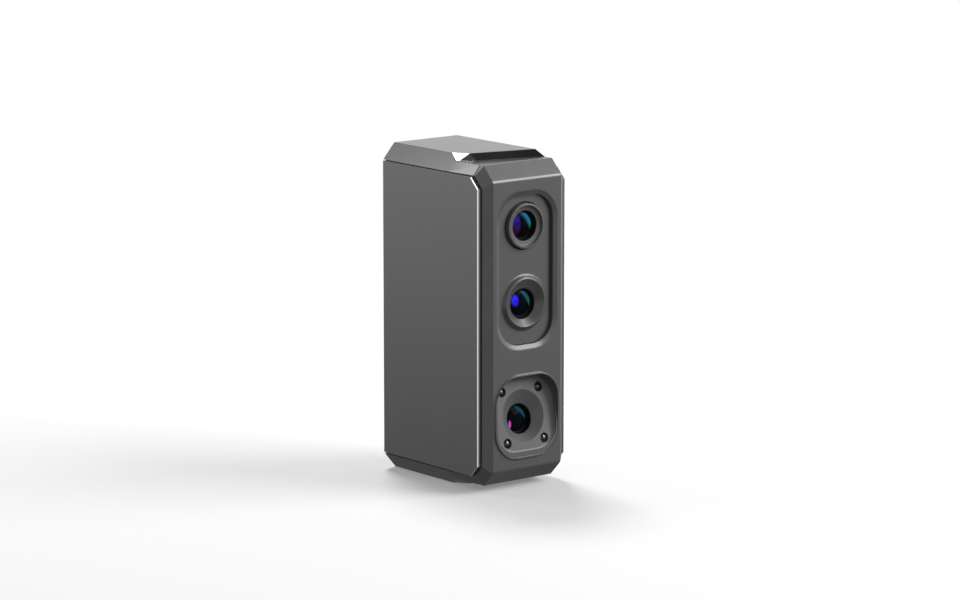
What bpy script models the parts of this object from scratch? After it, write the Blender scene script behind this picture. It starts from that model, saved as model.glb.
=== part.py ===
"""Palm-size structured-light 3-D scanner, modelled as the assembly of its separate pieces.

Sizes in this file are millimetres and MM turns them into Blender's metres. +Z is up, the lenses look
along -Y, and the origin is the centre of the footprint, on the surface that the scanner stands on.
"""

import math

import bmesh
import bpy
from mathutils import Matrix, Vector

MM = 0.001

# ---------------------------------------------------------------- driving dimensions
WIDTH = 35.0
DEPTH = 52.0
HEIGHT = 105.0
MID_Z = HEIGHT / 2
FRONT_LIP = 0.5            # how far the projector rim stands proud of the front face
REAR_KEYS = 0.5            # how far the keys stand proud of the rear face
FRONT_Y = -DEPTH / 2 + FRONT_LIP
REAR_Y = DEPTH / 2 - REAR_KEYS
FIT_GAP = 0.3              # clearance between neighbouring pieces

# Main octagon: half width, and its corner chamfer across (X) and down (Z).
MAIN_HALF = WIDTH / 2
MAIN_CUT_X = 4.8
MAIN_CUT_Z = 5.5
# Narrower octagon at the front of the body and round the bezel.
NOSE_HALF = 16.1
NOSE_HALF_Z = MID_Z - 2.1
NOSE_CUT_X = 2.5
NOSE_CUT_Z = 3.0
SEAM_Y = -18.9             # joint between body shell and front bezel
BAND_Y = -20.9             # where the bezel's sloping band starts
BAND_DROP = 4.65
# The top and bottom faces end in a slanting slope, longer on the right, with a gem cut on the left.
GEM_START_Y = -3.9
GEM_END = (-9.4, -8.55)
SLOPE_RIGHT_Y = -13.9
SLOPE_RUN = 3.4            # how far forward the slope takes to come down to the nose
TAPER_Y = -7.2             # where the left chamfer starts to taper towards the bezel
STRIP_X = 2.5              # upright edge chamfer of the bezel
STRIP_Y = 2.3

CAVITY_HALF = 14.4
CAVITY_HALF_Z = MID_Z - 3.8
CAVITY_CUT = 3.0
LID_HALF = 15.0
LID_HALF_Z = MID_Z - 3.1
LID_THICK = 2.0
LID_CUT = 3.4

PLATE_THICK = WIDTH / 2 - NOSE_HALF - FIT_GAP
PLATE_FRONT_Y = -22.7
PLATE_REAR_Y = REAR_Y - 0.2
PLATE_HALF_Z = MID_Z - 5.4
PLATE_CUT = 3.5

# Front openings: centre height, half width, half height and corner radius.
WINDOW_Z = 69.5
WINDOW_HALF = 12.2
WINDOW_HALF_Z = 25.0
WINDOW_RADIUS = 9.4
WINDOW_SLOPE = 1.45
WINDOW_SLOPE_DEPTH = 0.55
FASCIA_Y = FRONT_Y + 1.7
FASCIA_THICK = 1.3
PAD_Z = 23.4
PAD_HALF = 13.1
PAD_HALF_Z = 13.6
PAD_RADIUS = 9.8
PAD_WALL = 0.9
WELL_RADIUS = 7.6
PAD_DRAFT = 2.0            # how much the well narrows on its way in
WELL_END_Y = -18.6
TILT = math.radians(10.8)  # the projector and its panel look upwards
PANEL_Y = -23.65
PANEL_Z = 22.9
PANEL_THICK = 1.4

UPPER_Z = 83.3
LOWER_Z = 58.6
CRATER_Z = 59.1
HOLE_RADIUS = 4.8
NOSE_TUBE_RADIUS = 4.5
TUBE_BORE = 4.15
GLASS_RADIUS = 3.9
LED_X = 7.4
LED_REACH = 8.1            # along the tilted panel, up or down from its centre
LED_HOLE = 1.65
LED_RADIUS = 1.35
CONE_DEPTH = 2.3
TUBE_OFFSET = -0.95        # the projector's tube sits this far below its cone's centre

KEY_Z = 66.0
KEY_PITCH = 13.0
SCAN_RADIUS = 5.0
SIDE_KEY_RADIUS = 3.4
KEY_TRAVEL = 0.5
KEY_LENGTH = 5.2           # from the panel's face to the end of the plunger
FLANGE_DROP = 1.5          # from the panel's face to the key's flange
SWITCH_BOARD_Y = 17.4
SWITCH_BOARD_THICK = 1.0
PORT_Z = 17.0
TRIPOD_Y = 4.0
TRIPOD_BORE = 3.2
LID_SCREW_X = 10.6
LID_SCREW_Z = 41.5         # above and below the middle height

ROUND_STEPS = 32

# ---------------------------------------------------------------- orientation of flat and turned shapes
FACING_FRONT = Matrix.Rotation(math.radians(90), 4, "X")
FACING_REAR = Matrix.Rotation(math.radians(180), 4, "Z") @ FACING_FRONT
FACING_SIDE = Matrix(((0, 0, 1, 0), (1, 0, 0, 0), (0, 1, 0, 0), (0, 0, 0, 1)))
FACING_UP = Matrix.Identity(4)

FINISHES = {
    "anodised_grey": ((0.16, 0.16, 0.165), 0.38, 0.85),
    "bezel_grey": ((0.10, 0.10, 0.102), 0.55, 0.3),
    "black_plastic": ((0.02, 0.02, 0.022), 0.5, 0.0),
    "black_gloss": ((0.012, 0.012, 0.014), 0.12, 0.0),
    "coated_glass": ((0.05, 0.04, 0.09), 0.05, 0.0),
    "steel": ((0.6, 0.6, 0.6), 0.3, 1.0),
    "brass": ((0.75, 0.57, 0.28), 0.3, 1.0),
    "aluminium": ((0.7, 0.7, 0.72), 0.4, 1.0),
    "circuit_board": ((0.02, 0.12, 0.06), 0.5, 0.0),
    "silicon": ((0.04, 0.04, 0.05), 0.25, 0.1),
    "light_pipe": ((0.75, 0.85, 0.9), 0.3, 0.0),
    "rubber": ((0.02, 0.02, 0.02), 0.85, 0.0),
    "polyimide": ((0.35, 0.16, 0.03), 0.4, 0.0),
}


def clear_scene():
    """Empties the scene and makes the collections for the scanner and for its cutters."""
    for obj in list(bpy.data.objects):
        bpy.data.objects.remove(obj)
    made = []
    for name in ("handheld_scanner", "cutters"):
        collection = bpy.data.collections.new(name)
        bpy.context.scene.collection.children.link(collection)
        made.append(collection)
    return made


PARTS, CUTTERS = clear_scene()


def finish(name):
    """The Principled material of one finish, made once."""
    found = bpy.data.materials.get(name)
    if found:
        return found
    colour, roughness, metallic = FINISHES[name]
    material = bpy.data.materials.new(name)
    material.use_nodes = True
    shader = material.node_tree.nodes["Principled BSDF"]
    shader.inputs["Base Color"].default_value = (*colour, 1)
    shader.inputs["Roughness"].default_value = roughness
    shader.inputs["Metallic"].default_value = metallic
    return material


def baked(obj, placing, smooth=False):
    """Swaps an object for a plain mesh of its evaluated shape, welded, facing out and put in place."""
    bpy.context.view_layer.update()
    graph = bpy.context.evaluated_depsgraph_get()
    mesh = bpy.data.meshes.new_from_object(obj.evaluated_get(graph))
    shape = bmesh.new()
    shape.from_mesh(mesh)
    bmesh.ops.remove_doubles(shape, verts=shape.verts, dist=0.00001)
    bmesh.ops.recalc_face_normals(shape, faces=shape.faces)
    shape.to_mesh(mesh)
    shape.free()
    if smooth:
        mesh.shade_smooth()
        mesh.set_sharp_from_angle(angle=math.radians(35))
    name = obj.name
    bpy.data.objects.remove(obj)
    made = bpy.data.objects.new(name, mesh)
    made.matrix_world = placing
    PARTS.objects.link(made)
    return made


def at(x, y, z, turned=FACING_UP):
    """A placing matrix: a turn, then a move to a point in millimetres."""
    return Matrix.Translation(Vector((x, y, z)) * MM) @ turned


def slab(name, outline, low, high, placing):
    """A flat outline, thickened from low to high along its own Z."""
    curve = bpy.data.curves.new(name, "CURVE")
    curve.dimensions = "2D"
    curve.fill_mode = "BOTH"
    curve.extrude = (high - low) / 2 * MM
    spline = curve.splines.new("POLY")
    spline.points.add(len(outline) - 1)
    for point, (x, y) in zip(spline.points, outline):
        point.co = (x * MM, y * MM, 0, 1)
    spline.use_cyclic_u = True
    obj = bpy.data.objects.new(name, curve)
    PARTS.objects.link(obj)
    return baked(obj, placing @ Matrix.Translation((0, 0, (low + high) / 2 * MM)))


def turned(name, profile, placing, steps=ROUND_STEPS, closed=True):
    """A profile of (radius, height) points, outer side first and running down, spun about its own Z."""
    mesh = bpy.data.meshes.new(name)
    corners = [(radius * MM, 0, height * MM) for radius, height in profile]
    edges = [(n, n + 1) for n in range(len(corners) - 1)]
    if closed:
        edges.append((len(corners) - 1, 0))
    mesh.from_pydata(corners, edges, [])
    obj = bpy.data.objects.new(name, mesh)
    PARTS.objects.link(obj)
    screw = obj.modifiers.new("spin", "SCREW")
    screw.steps = steps
    screw.render_steps = steps
    screw.use_merge_vertices = True
    screw.merge_threshold = 0.00001
    return baked(obj, placing, smooth=True)


def block(name, size, centre, turn=FACING_UP):
    """A box of a given size about a centre."""
    bpy.ops.mesh.primitive_cube_add(size=1)
    obj = bpy.context.active_object
    obj.name = name
    obj.data.transform(Matrix.Diagonal((*(Vector(size) * MM), 1)))
    for holder in list(obj.users_collection):
        holder.objects.unlink(obj)
    PARTS.objects.link(obj)
    obj.matrix_world = at(*centre, turn)
    return obj


def rounded_rectangle(half_x, half_y, radius, arc_steps=5):
    """Corner points of a rectangle with round corners, anticlockwise."""
    points = []
    for corner, (sign_x, sign_y) in enumerate(((1, 1), (-1, 1), (-1, -1), (1, -1))):
        for step in range(arc_steps + 1):
            angle = math.radians(90 * corner + 90 * step / arc_steps)
            points.append(
                (
                    sign_x * (half_x - radius) + radius * math.cos(angle),
                    sign_y * (half_y - radius) + radius * math.sin(angle),
                )
            )
    return points


def octagon(half_x, half_y, cut_x, cut_y):
    """A rectangle with its four corners cut off, anticlockwise."""
    inner_x, inner_y = half_x - cut_x, half_y - cut_y
    return [
        (half_x, inner_y), (inner_x, half_y), (-inner_x, half_y), (-half_x, inner_y),
        (-half_x, -inner_y), (-inner_x, -half_y), (inner_x, -half_y), (half_x, -inner_y),
    ]


def tapered(name, outline, low, high, low_scale, placing):
    """A slab whose low end is scaled about its centre by (x, y) factors."""
    obj = slab(name, outline, low, high, placing)
    for vertex in obj.data.vertices:
        if vertex.co.z < 0:
            vertex.co.x *= low_scale[0]
            vertex.co.y *= low_scale[1]
    return obj


def boolean(obj, other, operation):
    """Cuts, joins or intersects obj with another object, which becomes a hidden helper."""
    modifier = obj.modifiers.new(operation.lower(), "BOOLEAN")
    modifier.operation = operation
    modifier.object = other
    if other.name in PARTS.objects:
        PARTS.objects.unlink(other)
        CUTTERS.objects.link(other)
    other.hide_render = True
    other.display_type = "WIRE"
    return obj


def cut(obj, *others):
    """Cuts each of the other objects from obj."""
    for other in others:
        boolean(obj, other, "DIFFERENCE")
    return obj


def join(obj, *others):
    """Joins each of the other objects to obj."""
    for other in others:
        boolean(obj, other, "UNION")
    return obj


def soften(obj, width, segments=1):
    """Breaks an object's edges with a small chamfer."""
    modifier = obj.modifiers.new("edges", "BEVEL")
    modifier.width = width * MM
    modifier.segments = segments
    modifier.limit_method = "ANGLE"
    modifier.angle_limit = math.radians(20)
    return obj


def dress(obj, finish_name):
    """Gives an object one finish."""
    obj.data.materials.clear()
    obj.data.materials.append(finish(finish_name))
    return obj


def box_cutter(name, low, high):
    """A box between two corners."""
    size = [b - a for a, b in zip(low, high)]
    centre = [(a + b) / 2 for a, b in zip(low, high)]
    return block(name, size, centre)


# ---------------------------------------------------------------- body shell
def crown_half():
    """The upper half of the body's outer skin: the loft from the main octagon to the narrower nose."""
    top_x, nose_x = MAIN_HALF - MAIN_CUT_X, NOSE_HALF - NOSE_CUT_X
    main_low, nose_low = MID_Z - MAIN_CUT_Z, NOSE_HALF_Z - NOSE_CUT_Z
    taper_x = -top_x - 1.6
    taper_z = MID_Z - 1.6 * MAIN_CUT_Z / MAIN_CUT_X
    slant = (SLOPE_RIGHT_Y - GEM_END[1]) / (top_x - GEM_END[0])
    slope_left = (GEM_END[0], GEM_END[1] - SLOPE_RUN)
    slope_right = (nose_x, SLOPE_RIGHT_Y + slant * (nose_x - top_x) - SLOPE_RUN)
    points = {
        "rear_top_left": (-top_x, REAR_Y, MID_Z), "rear_top_right": (top_x, REAR_Y, MID_Z),
        "rear_side_left": (-MAIN_HALF, REAR_Y, main_low), "rear_side_right": (MAIN_HALF, REAR_Y, main_low),
        "rear_mid_left": (-MAIN_HALF, REAR_Y, 0), "rear_mid_right": (MAIN_HALF, REAR_Y, 0),
        "gem_rear": (-top_x, GEM_START_Y, MID_Z), "gem_front": (*GEM_END, MID_Z),
        "gem_foot": (taper_x + 0.1, TAPER_Y - 1.5, NOSE_HALF_Z), "slope_left": (*slope_left, NOSE_HALF_Z),
        "slope_top": (top_x, SLOPE_RIGHT_Y, MID_Z), "slope_right": (*slope_right, NOSE_HALF_Z),
        "taper_top": (taper_x, TAPER_Y, taper_z), "taper_side": (-MAIN_HALF, TAPER_Y, main_low),
        "taper_mid": (-MAIN_HALF, TAPER_Y, 0),
        "right_side": (MAIN_HALF, SLOPE_RIGHT_Y, main_low), "right_mid": (MAIN_HALF, SLOPE_RIGHT_Y, 0),
        "seam_top_left": (-nose_x, SEAM_Y, NOSE_HALF_Z), "seam_top_right": (nose_x, SEAM_Y, NOSE_HALF_Z),
        "seam_side_left": (-NOSE_HALF, SEAM_Y, nose_low), "seam_side_right": (NOSE_HALF, SEAM_Y, nose_low),
        "seam_mid_left": (-NOSE_HALF, SEAM_Y, 0), "seam_mid_right": (NOSE_HALF, SEAM_Y, 0),
    }
    faces = (
        ("rear_top_left", "rear_top_right", "slope_top", "gem_front", "gem_rear"),
        ("gem_front", "slope_top", "slope_right", "slope_left"),
        ("gem_rear", "gem_front", "gem_foot"), ("gem_front", "slope_left", "gem_foot"),
        ("gem_rear", "gem_foot", "taper_top"),
        ("slope_left", "slope_right", "seam_top_right", "seam_top_left", "gem_foot"),
        ("rear_top_left", "gem_rear", "taper_top", "taper_side", "rear_side_left"),
        ("taper_top", "gem_foot", "seam_top_left"), ("taper_top", "seam_top_left", "seam_side_left"),
        ("taper_top", "seam_side_left", "taper_side"),
        ("rear_side_left", "taper_side", "taper_mid", "rear_mid_left"),
        ("taper_side", "seam_side_left", "seam_mid_left"), ("taper_side", "seam_mid_left", "taper_mid"),
        ("rear_top_right", "rear_side_right", "right_side", "slope_top"),
        ("slope_top", "right_side", "seam_side_right"), ("slope_top", "seam_side_right", "slope_right"),
        ("slope_right", "seam_side_right", "seam_top_right"),
        ("rear_side_right", "rear_mid_right", "right_mid", "right_side"),
        ("right_side", "right_mid", "seam_mid_right"), ("right_side", "seam_mid_right", "seam_side_right"),
        (
            "rear_top_left", "rear_side_left", "rear_mid_left", "rear_mid_right", "rear_side_right",
            "rear_top_right",
        ),
        (
            "seam_top_left", "seam_top_right", "seam_side_right", "seam_mid_right", "seam_mid_left",
            "seam_side_left",
        ),
    )
    shape = bmesh.new()
    corners = {name: shape.verts.new(Vector(point) * MM) for name, point in points.items()}
    for names in faces:
        shape.faces.new([corners[name] for name in names])
    bmesh.ops.recalc_face_normals(shape, faces=shape.faces)
    mesh = bpy.data.meshes.new("body_shell")
    shape.to_mesh(mesh)
    shape.free()
    return mesh


def body_shell():
    """The aluminium shell: the skin, its cavity, and the seats of what is fixed to it."""
    obj = bpy.data.objects.new("body_shell", crown_half())
    PARTS.objects.link(obj)
    mirror = obj.modifiers.new("lower_half", "MIRROR")
    mirror.use_axis = (False, False, True)
    mirror.use_clip = True
    mirror.merge_threshold = 0.00001
    obj = baked(obj, at(0, 0, MID_Z))
    soften(obj, 0.3)
    cavity = slab(
        "shell_cavity", octagon(CAVITY_HALF, CAVITY_HALF_Z, CAVITY_CUT, CAVITY_CUT), -40, 40,
        at(0, 0, MID_Z, FACING_FRONT),
    )
    lid_seat = slab(
        "lid_seat", octagon(LID_HALF + FIT_GAP, LID_HALF_Z + FIT_GAP, LID_CUT, LID_CUT),
        0, 10, at(0, REAR_Y - LID_THICK - FIT_GAP, MID_Z, FACING_REAR),
    )
    cut(obj, cavity, lid_seat)
    for side in (-1, 1):
        pocket_low = (NOSE_HALF, -40, MID_Z - PLATE_HALF_Z - 0.4)
        pocket_high = (MAIN_HALF + 1, 40, MID_Z + PLATE_HALF_Z + 0.4)
        low_x, high_x = sorted((side * pocket_low[0], side * pocket_high[0]))
        pocket = box_cutter(
            f"plate_pocket_{side}", (low_x, *pocket_low[1:]), (high_x, *pocket_high[1:])
        )
        cut(obj, pocket)
    socket = turned(
        "tripod_hole", [(0, 8), (TRIPOD_BORE + 1.7, 8), (TRIPOD_BORE + 1.7, -2), (0, -2)],
        at(0, TRIPOD_Y, 0), closed=False,
    )
    cut(obj, socket)
    for number, (x, z) in enumerate(lid_screw_places()):
        boss_x = math.copysign(CAVITY_HALF - 2.6, x)
        boss = block(
            f"screw_boss_{number}", (6.6, 7, 6), (boss_x, REAR_Y - LID_THICK - FIT_GAP - 4.1, z)
        )
        hole = turned(
            f"screw_pilot_{number}", [(0, 20), (1.15, 20), (1.15, -9), (0, -9)],
            at(x, REAR_Y - LID_THICK, z, FACING_REAR), 16, closed=False,
        )
        join(obj, boss)
        cut(obj, hole)
    return dress(obj, "anodised_grey")


def lid_screw_places():
    """Where the lid's four screws stand, across and up."""
    return [
        (side * LID_SCREW_X, MID_Z + level * LID_SCREW_Z)
        for side in (-1, 1) for level in (-1, 1)
    ]


def side_plate(name, side):
    """Flat cover let into the side of the shell, its front corners cut off."""
    rear, front, half = PLATE_REAR_Y, PLATE_FRONT_Y, PLATE_HALF_Z
    outline = [
        (rear, -half), (rear, half), (front + PLATE_CUT, half), (front, half - PLATE_CUT),
        (front, -half + PLATE_CUT), (front + PLATE_CUT, -half),
    ]
    outer = side * MAIN_HALF
    inner = side * (MAIN_HALF - PLATE_THICK)
    obj = slab(name, outline, min(inner, outer), max(inner, outer), at(0, 0, MID_Z, FACING_SIDE))
    soften(obj, 0.35)
    return dress(obj, "anodised_grey")


# ---------------------------------------------------------------- front bezel and fascias
def keep_inside(obj, point, outward):
    """Slices off whatever of a convex mesh lies outside a plane, and closes the cut."""
    shape = bmesh.new()
    shape.from_mesh(obj.data)
    shape.transform(obj.matrix_world)
    sliced = bmesh.ops.bisect_plane(
        shape, geom=shape.verts[:] + shape.edges[:] + shape.faces[:],
        plane_co=Vector(point) * MM, plane_no=Vector(outward).normalized(), clear_outer=True,
    )
    rim = [item for item in sliced["geom_cut"] if isinstance(item, bmesh.types.BMEdge)]
    bmesh.ops.edgeloop_fill(shape, edges=rim)
    shape.transform(obj.matrix_world.inverted())
    shape.to_mesh(obj.data)
    shape.free()
    return obj


def well_plug(name, inset):
    """The tapering space of the projector well, drawn in all round by inset."""
    half, half_z = PAD_HALF - PAD_WALL - inset, PAD_HALF_Z - PAD_WALL - inset
    radius = WELL_RADIUS - inset
    depth = WELL_END_Y - FRONT_Y + FRONT_LIP + 1.0
    narrow = (1 - PAD_DRAFT / half, 1 - PAD_DRAFT / half_z)
    return tapered(
        name, rounded_rectangle(half, half_z, radius), -depth, 0.6, narrow,
        at(0, FRONT_Y - FRONT_LIP, PAD_Z, FACING_FRONT),
    )


def front_bezel():
    """The front frame: sloping bands, cut corners, the camera window and the projector's rim and well."""
    obj = slab(
        "front_bezel", octagon(NOSE_HALF, NOSE_HALF_Z, NOSE_CUT_X, NOSE_CUT_Z),
        -SEAM_Y + FIT_GAP, -FRONT_Y, at(0, 0, MID_Z, FACING_FRONT),
    )
    band_z = NOSE_HALF_Z
    face_z = NOSE_HALF_Z - BAND_DROP
    for level in (-1, 1):
        keep_inside(
            obj, (0, BAND_Y, MID_Z + level * band_z), (0, -BAND_DROP, level * (BAND_Y - FRONT_Y))
        )
    for side in (-1, 1):
        keep_inside(
            obj, (side * NOSE_HALF, FRONT_Y + STRIP_Y, MID_Z), (side * STRIP_Y, -STRIP_X, 0)
        )
        for level in (-1, 1):
            corner = Vector((side * (NOSE_HALF - NOSE_CUT_X), BAND_Y, level * band_z))
            face_corner = Vector((side * (NOSE_HALF - STRIP_X), FRONT_Y, level * face_z))
            side_corner = Vector((side * NOSE_HALF, FRONT_Y + STRIP_Y, level * (face_z - 2.0)))
            normal = (face_corner - corner).cross(side_corner - corner)
            if normal.x * side < 0:
                normal.negate()
            keep_inside(obj, corner + Vector((0, 0, MID_Z)), normal)
    pad = tapered(
        "pad", rounded_rectangle(PAD_HALF - 0.35, PAD_HALF_Z - 0.35, PAD_RADIUS - 0.35),
        -1.0, FRONT_LIP, (1.04, 1.04), at(0, FRONT_Y, PAD_Z, FACING_FRONT),
    )
    join(obj, pad)
    window_slope = tapered(
        "window_slope", rounded_rectangle(WINDOW_HALF + 0.95, WINDOW_HALF_Z + 0.95, WINDOW_RADIUS),
        -WINDOW_SLOPE_DEPTH, 0.35,
        (
            (WINDOW_HALF - WINDOW_SLOPE) / (WINDOW_HALF + 0.95),
            (WINDOW_HALF_Z - WINDOW_SLOPE) / (WINDOW_HALF_Z + 0.95),
        ),
        at(0, FRONT_Y, WINDOW_Z, FACING_FRONT),
    )
    window = slab(
        "window", rounded_rectangle(
            WINDOW_HALF - WINDOW_SLOPE, WINDOW_HALF_Z - WINDOW_SLOPE, WINDOW_RADIUS - WINDOW_SLOPE
        ),
        -10, 1, at(0, FRONT_Y, WINDOW_Z, FACING_FRONT),
    )
    hollow_top, hollow_low = MID_Z + 47.2, PAD_Z + PAD_HALF + 2.5
    hollow = slab(
        "bezel_hollow", octagon(14.0, (hollow_top - hollow_low) / 2, 3.2, 3.6), -1, 4.5,
        at(0, SEAM_Y - FIT_GAP - 3.1 + 4.5 - 0.4, (hollow_top + hollow_low) / 2, FACING_FRONT),
    )
    cut(obj, window_slope, window, hollow, well_plug("projector_well", 0.0))
    return dress(obj, "bezel_grey")


def camera_fascia():
    """Panel in the upper window: a plain hole for the upper camera, a moulded crater for the lower one."""
    half = WINDOW_HALF - WINDOW_SLOPE - FIT_GAP
    half_z = WINDOW_HALF_Z - WINDOW_SLOPE - FIT_GAP
    obj = slab(
        "camera_fascia", rounded_rectangle(half, half_z, WINDOW_RADIUS - WINDOW_SLOPE - FIT_GAP),
        -FASCIA_THICK, 0, at(0, FASCIA_Y, WINDOW_Z, FACING_FRONT),
    )
    crater = turned(
        "crater", [(7.5, 1.15), (8.1, 1.1), (8.7, 0.6), (9.2, -0.4), (6.0, -0.4)],
        at(0, FASCIA_Y, CRATER_Z, FACING_FRONT),
    )
    crater_hole = turned(
        "crater_hole", [(0, 2), (8.2, 2), (7.4, 1.05), (HOLE_RADIUS, -0.2), (HOLE_RADIUS, -4), (0, -4)],
        at(0, FASCIA_Y, CRATER_Z, FACING_FRONT), closed=False,
    )
    for vertex in crater_hole.data.vertices:
        if vertex.co.z < 0:
            vertex.co.y += (LOWER_Z - CRATER_Z) * MM
    ring_hole = turned(
        "ring_hole", [(0, 3), (7.45, 3), (7.45, -4), (0, -4)],
        at(0, FASCIA_Y, UPPER_Z, FACING_FRONT), closed=False,
    )
    join(obj, crater)
    cut(obj, crater_hole, ring_hole)
    return dress(obj, "bezel_grey")


def upper_lens_ring():
    """Ring screwed over the upper camera, standing out through the fascia."""
    profile = [
        (6.75, 1.4), (7.15, 0.9), (7.15, -1.6), (HOLE_RADIUS, -1.6), (HOLE_RADIUS, 0.3),
        (5.3, 0.35), (6.2, 1.4),
    ]
    obj = turned("upper_lens_ring", profile, at(0, FASCIA_Y, UPPER_Z, FACING_FRONT))
    return dress(obj, "bezel_grey")


PANEL_TURN = Matrix.Rotation(math.radians(90) - TILT, 4, "X")
PANEL = at(0, PANEL_Y, PANEL_Z, PANEL_TURN)


def on_panel(x, y, z):
    """A placing on the tilted panel: x across, y up along it, z out of it, in millimetres."""
    return PANEL @ Matrix.Translation(Vector((x, y, z)) * MM)


def led_places():
    """Where the four lamps stand on the panel."""
    return [(side * LED_X, level * LED_REACH + 0.4) for level in (1, -1) for side in (-1, 1)]


def projector_fascia():
    """Tilted panel at the foot of the well, with the projector's cone and four lamp holes."""
    obj = slab("projector_fascia", rounded_rectangle(16, 16, 3), -PANEL_THICK, 0, PANEL)
    boolean(obj, well_plug("fascia_outline", FIT_GAP), "INTERSECT")
    boss = turned(
        "projector_boss", [(0, -0.3), (6.6, -0.3), (6.6, -CONE_DEPTH - 0.6), (0, -CONE_DEPTH - 0.6)],
        on_panel(0, 0.3 + TUBE_OFFSET, 0), closed=False,
    )
    cone = turned(
        "projector_cone",
        [(0, 0.5), (8.8, 0.5), (HOLE_RADIUS, -CONE_DEPTH), (HOLE_RADIUS, -6), (0, -6)],
        on_panel(0, 0.3, 0), closed=False,
    )
    for vertex in cone.data.vertices:
        if vertex.co.z < -0.001 * MM:
            vertex.co.y += TUBE_OFFSET * MM
    join(obj, boss)
    cut(obj, cone)
    for number, (x, y) in enumerate(led_places()):
        cut(obj, turned(
            f"lamp_hole_{number}", [(0, 2), (LED_HOLE, 2), (LED_HOLE, -4), (0, -4)],
            on_panel(x, y, 0), 20, closed=False,
        ))
    return dress(obj, "bezel_grey")


def fill_lamps():
    """Four small domed lamps that stand in the panel's holes."""
    for number, (x, y) in enumerate(led_places(), 1):
        dome = [
            (LED_RADIUS * math.sin(angle), LED_RADIUS * math.cos(angle) * 0.8 - 1.05)
            for angle in (math.radians(15 * step) for step in range(7))
        ]
        profile = dome + [(LED_RADIUS, -2.4), (0, -2.4)]
        dress(turned(f"fill_lamp_{number}", profile, on_panel(x, y, 0), 16, closed=False), "black_gloss")
    obj = slab("lamp_board", rounded_rectangle(9.2, 9.2, 4), -3.6, -2.7, on_panel(0, 0.9, 0))
    cut(obj, turned(
        "lamp_board_hole", [(0, 2), (7.2, 2), (7.2, -6), (0, -6)],
        on_panel(0, 0.3 + TUBE_OFFSET, 0), closed=False,
    ))
    dress(obj, "circuit_board")


# ---------------------------------------------------------------- optics
def lens(name, placing, front_z, radius, thickness, front_bulge, rear_bulge):
    """A biconvex glass element whose front vertex is at front_z along the optical axis."""
    rim_front = front_z - front_bulge
    rim_rear = rim_front - thickness
    arc = [step / 5 for step in range(6)]
    front = [(radius * t, rim_front + front_bulge * (1 - t * t)) for t in arc]
    rear = [(radius * t, rim_rear - rear_bulge * (1 - t * t)) for t in reversed(arc)]
    return dress(turned(name, front + rear, placing, 24, closed=False), "coated_glass")


def optical_tube(name, placing, nose_front, flange_front, rear, nose=NOSE_TUBE_RADIUS):
    """Lens tube: a thin nose that reaches into the fascia's hole, and a thicker body behind it."""
    profile = [
        (nose, nose_front), (nose, flange_front), (6.8, flange_front), (6.8, rear),
        (TUBE_BORE, rear), (TUBE_BORE, nose_front),
    ]
    return dress(turned(name, profile, placing), "black_plastic")


def camera(prefix, z):
    """One camera: tube, two glass elements, sensor and its board, along the front-to-back axis."""
    placing = at(0, FASCIA_Y, z, FACING_FRONT)
    optical_tube(f"{prefix}_camera_tube", placing, -0.3, -2.1, -11.0)
    lens(f"{prefix}_front_lens", placing, -0.5, GLASS_RADIUS, 0.7, 0.8, 0.5)
    lens(f"{prefix}_inner_lens", placing, -4.4, GLASS_RADIUS, 0.8, 0.9, 0.6)
    sensor = block(f"{prefix}_sensor", (7.6, 1.0, 6.4), (0, FASCIA_Y + 11.9, z))
    dress(sensor, "silicon")
    board = slab(
        f"{prefix}_sensor_board", rounded_rectangle(9.5, 8.5, 1.5, 3), -13.9, -12.7, placing
    )
    dress(board, "circuit_board")


def projector():
    """The pattern projector behind the tilted panel: tube, lenses, pattern slide, lamp and heat sink."""
    placing = on_panel(0, 0.3 + TUBE_OFFSET, 0)
    optical_tube("projector_tube", placing, -2.5, -4.2, -19.0)
    lens("projector_front_lens", placing, -2.7, GLASS_RADIUS, 0.7, 0.8, 0.5)
    lens("projector_inner_lens", placing, -6.6, GLASS_RADIUS, 0.8, 0.9, 0.6)
    slide = turned(
        "pattern_slide", [(0, -14.0), (GLASS_RADIUS, -14.0), (GLASS_RADIUS, -14.8), (0, -14.8)],
        placing, 24, closed=False,
    )
    dress(slide, "coated_glass")
    lamp = slab("projector_lamp", rounded_rectangle(3.5, 3.5, 0.6, 3), -20.4, -19.3, placing)
    dress(lamp, "silicon")
    sink = slab("projector_heat_sink", rounded_rectangle(9, 7.5, 1, 3), -27.5, -20.7, placing)
    for number in range(4):
        groove = block(
            f"sink_groove_{number}", (2.2, 30, 4.8), (0, 0, 0)
        )
        groove.matrix_world = placing @ Matrix.Translation(
            Vector((-6.0 + 4.0 * number, 0, -25.6)) * MM
        )
        cut(sink, groove)
    dress(sink, "aluminium")


def optical_frame():
    """Stiff plate that holds both cameras and the projector at their fixed spacing."""
    obj = slab(
        "optical_frame", octagon(13.6, CAVITY_HALF_Z - 1.0, 2.6, 2.6), 0, 2.2,
        at(0, -14.4, MID_Z, FACING_FRONT),
    )
    for number, z in enumerate((UPPER_Z, LOWER_Z)):
        cut(obj, turned(
            f"frame_bore_{number}", [(0, 9), (7.15, 9), (7.15, -9), (0, -9)],
            at(0, -15.0, z, FACING_FRONT), closed=False,
        ))
    cut(obj, turned(
        "frame_bore_projector", [(0, 0), (7.3, 0), (7.3, -22), (0, -22)],
        on_panel(0, 0.3 + TUBE_OFFSET, 0), closed=False,
    ))
    return dress(obj, "aluminium")


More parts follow.
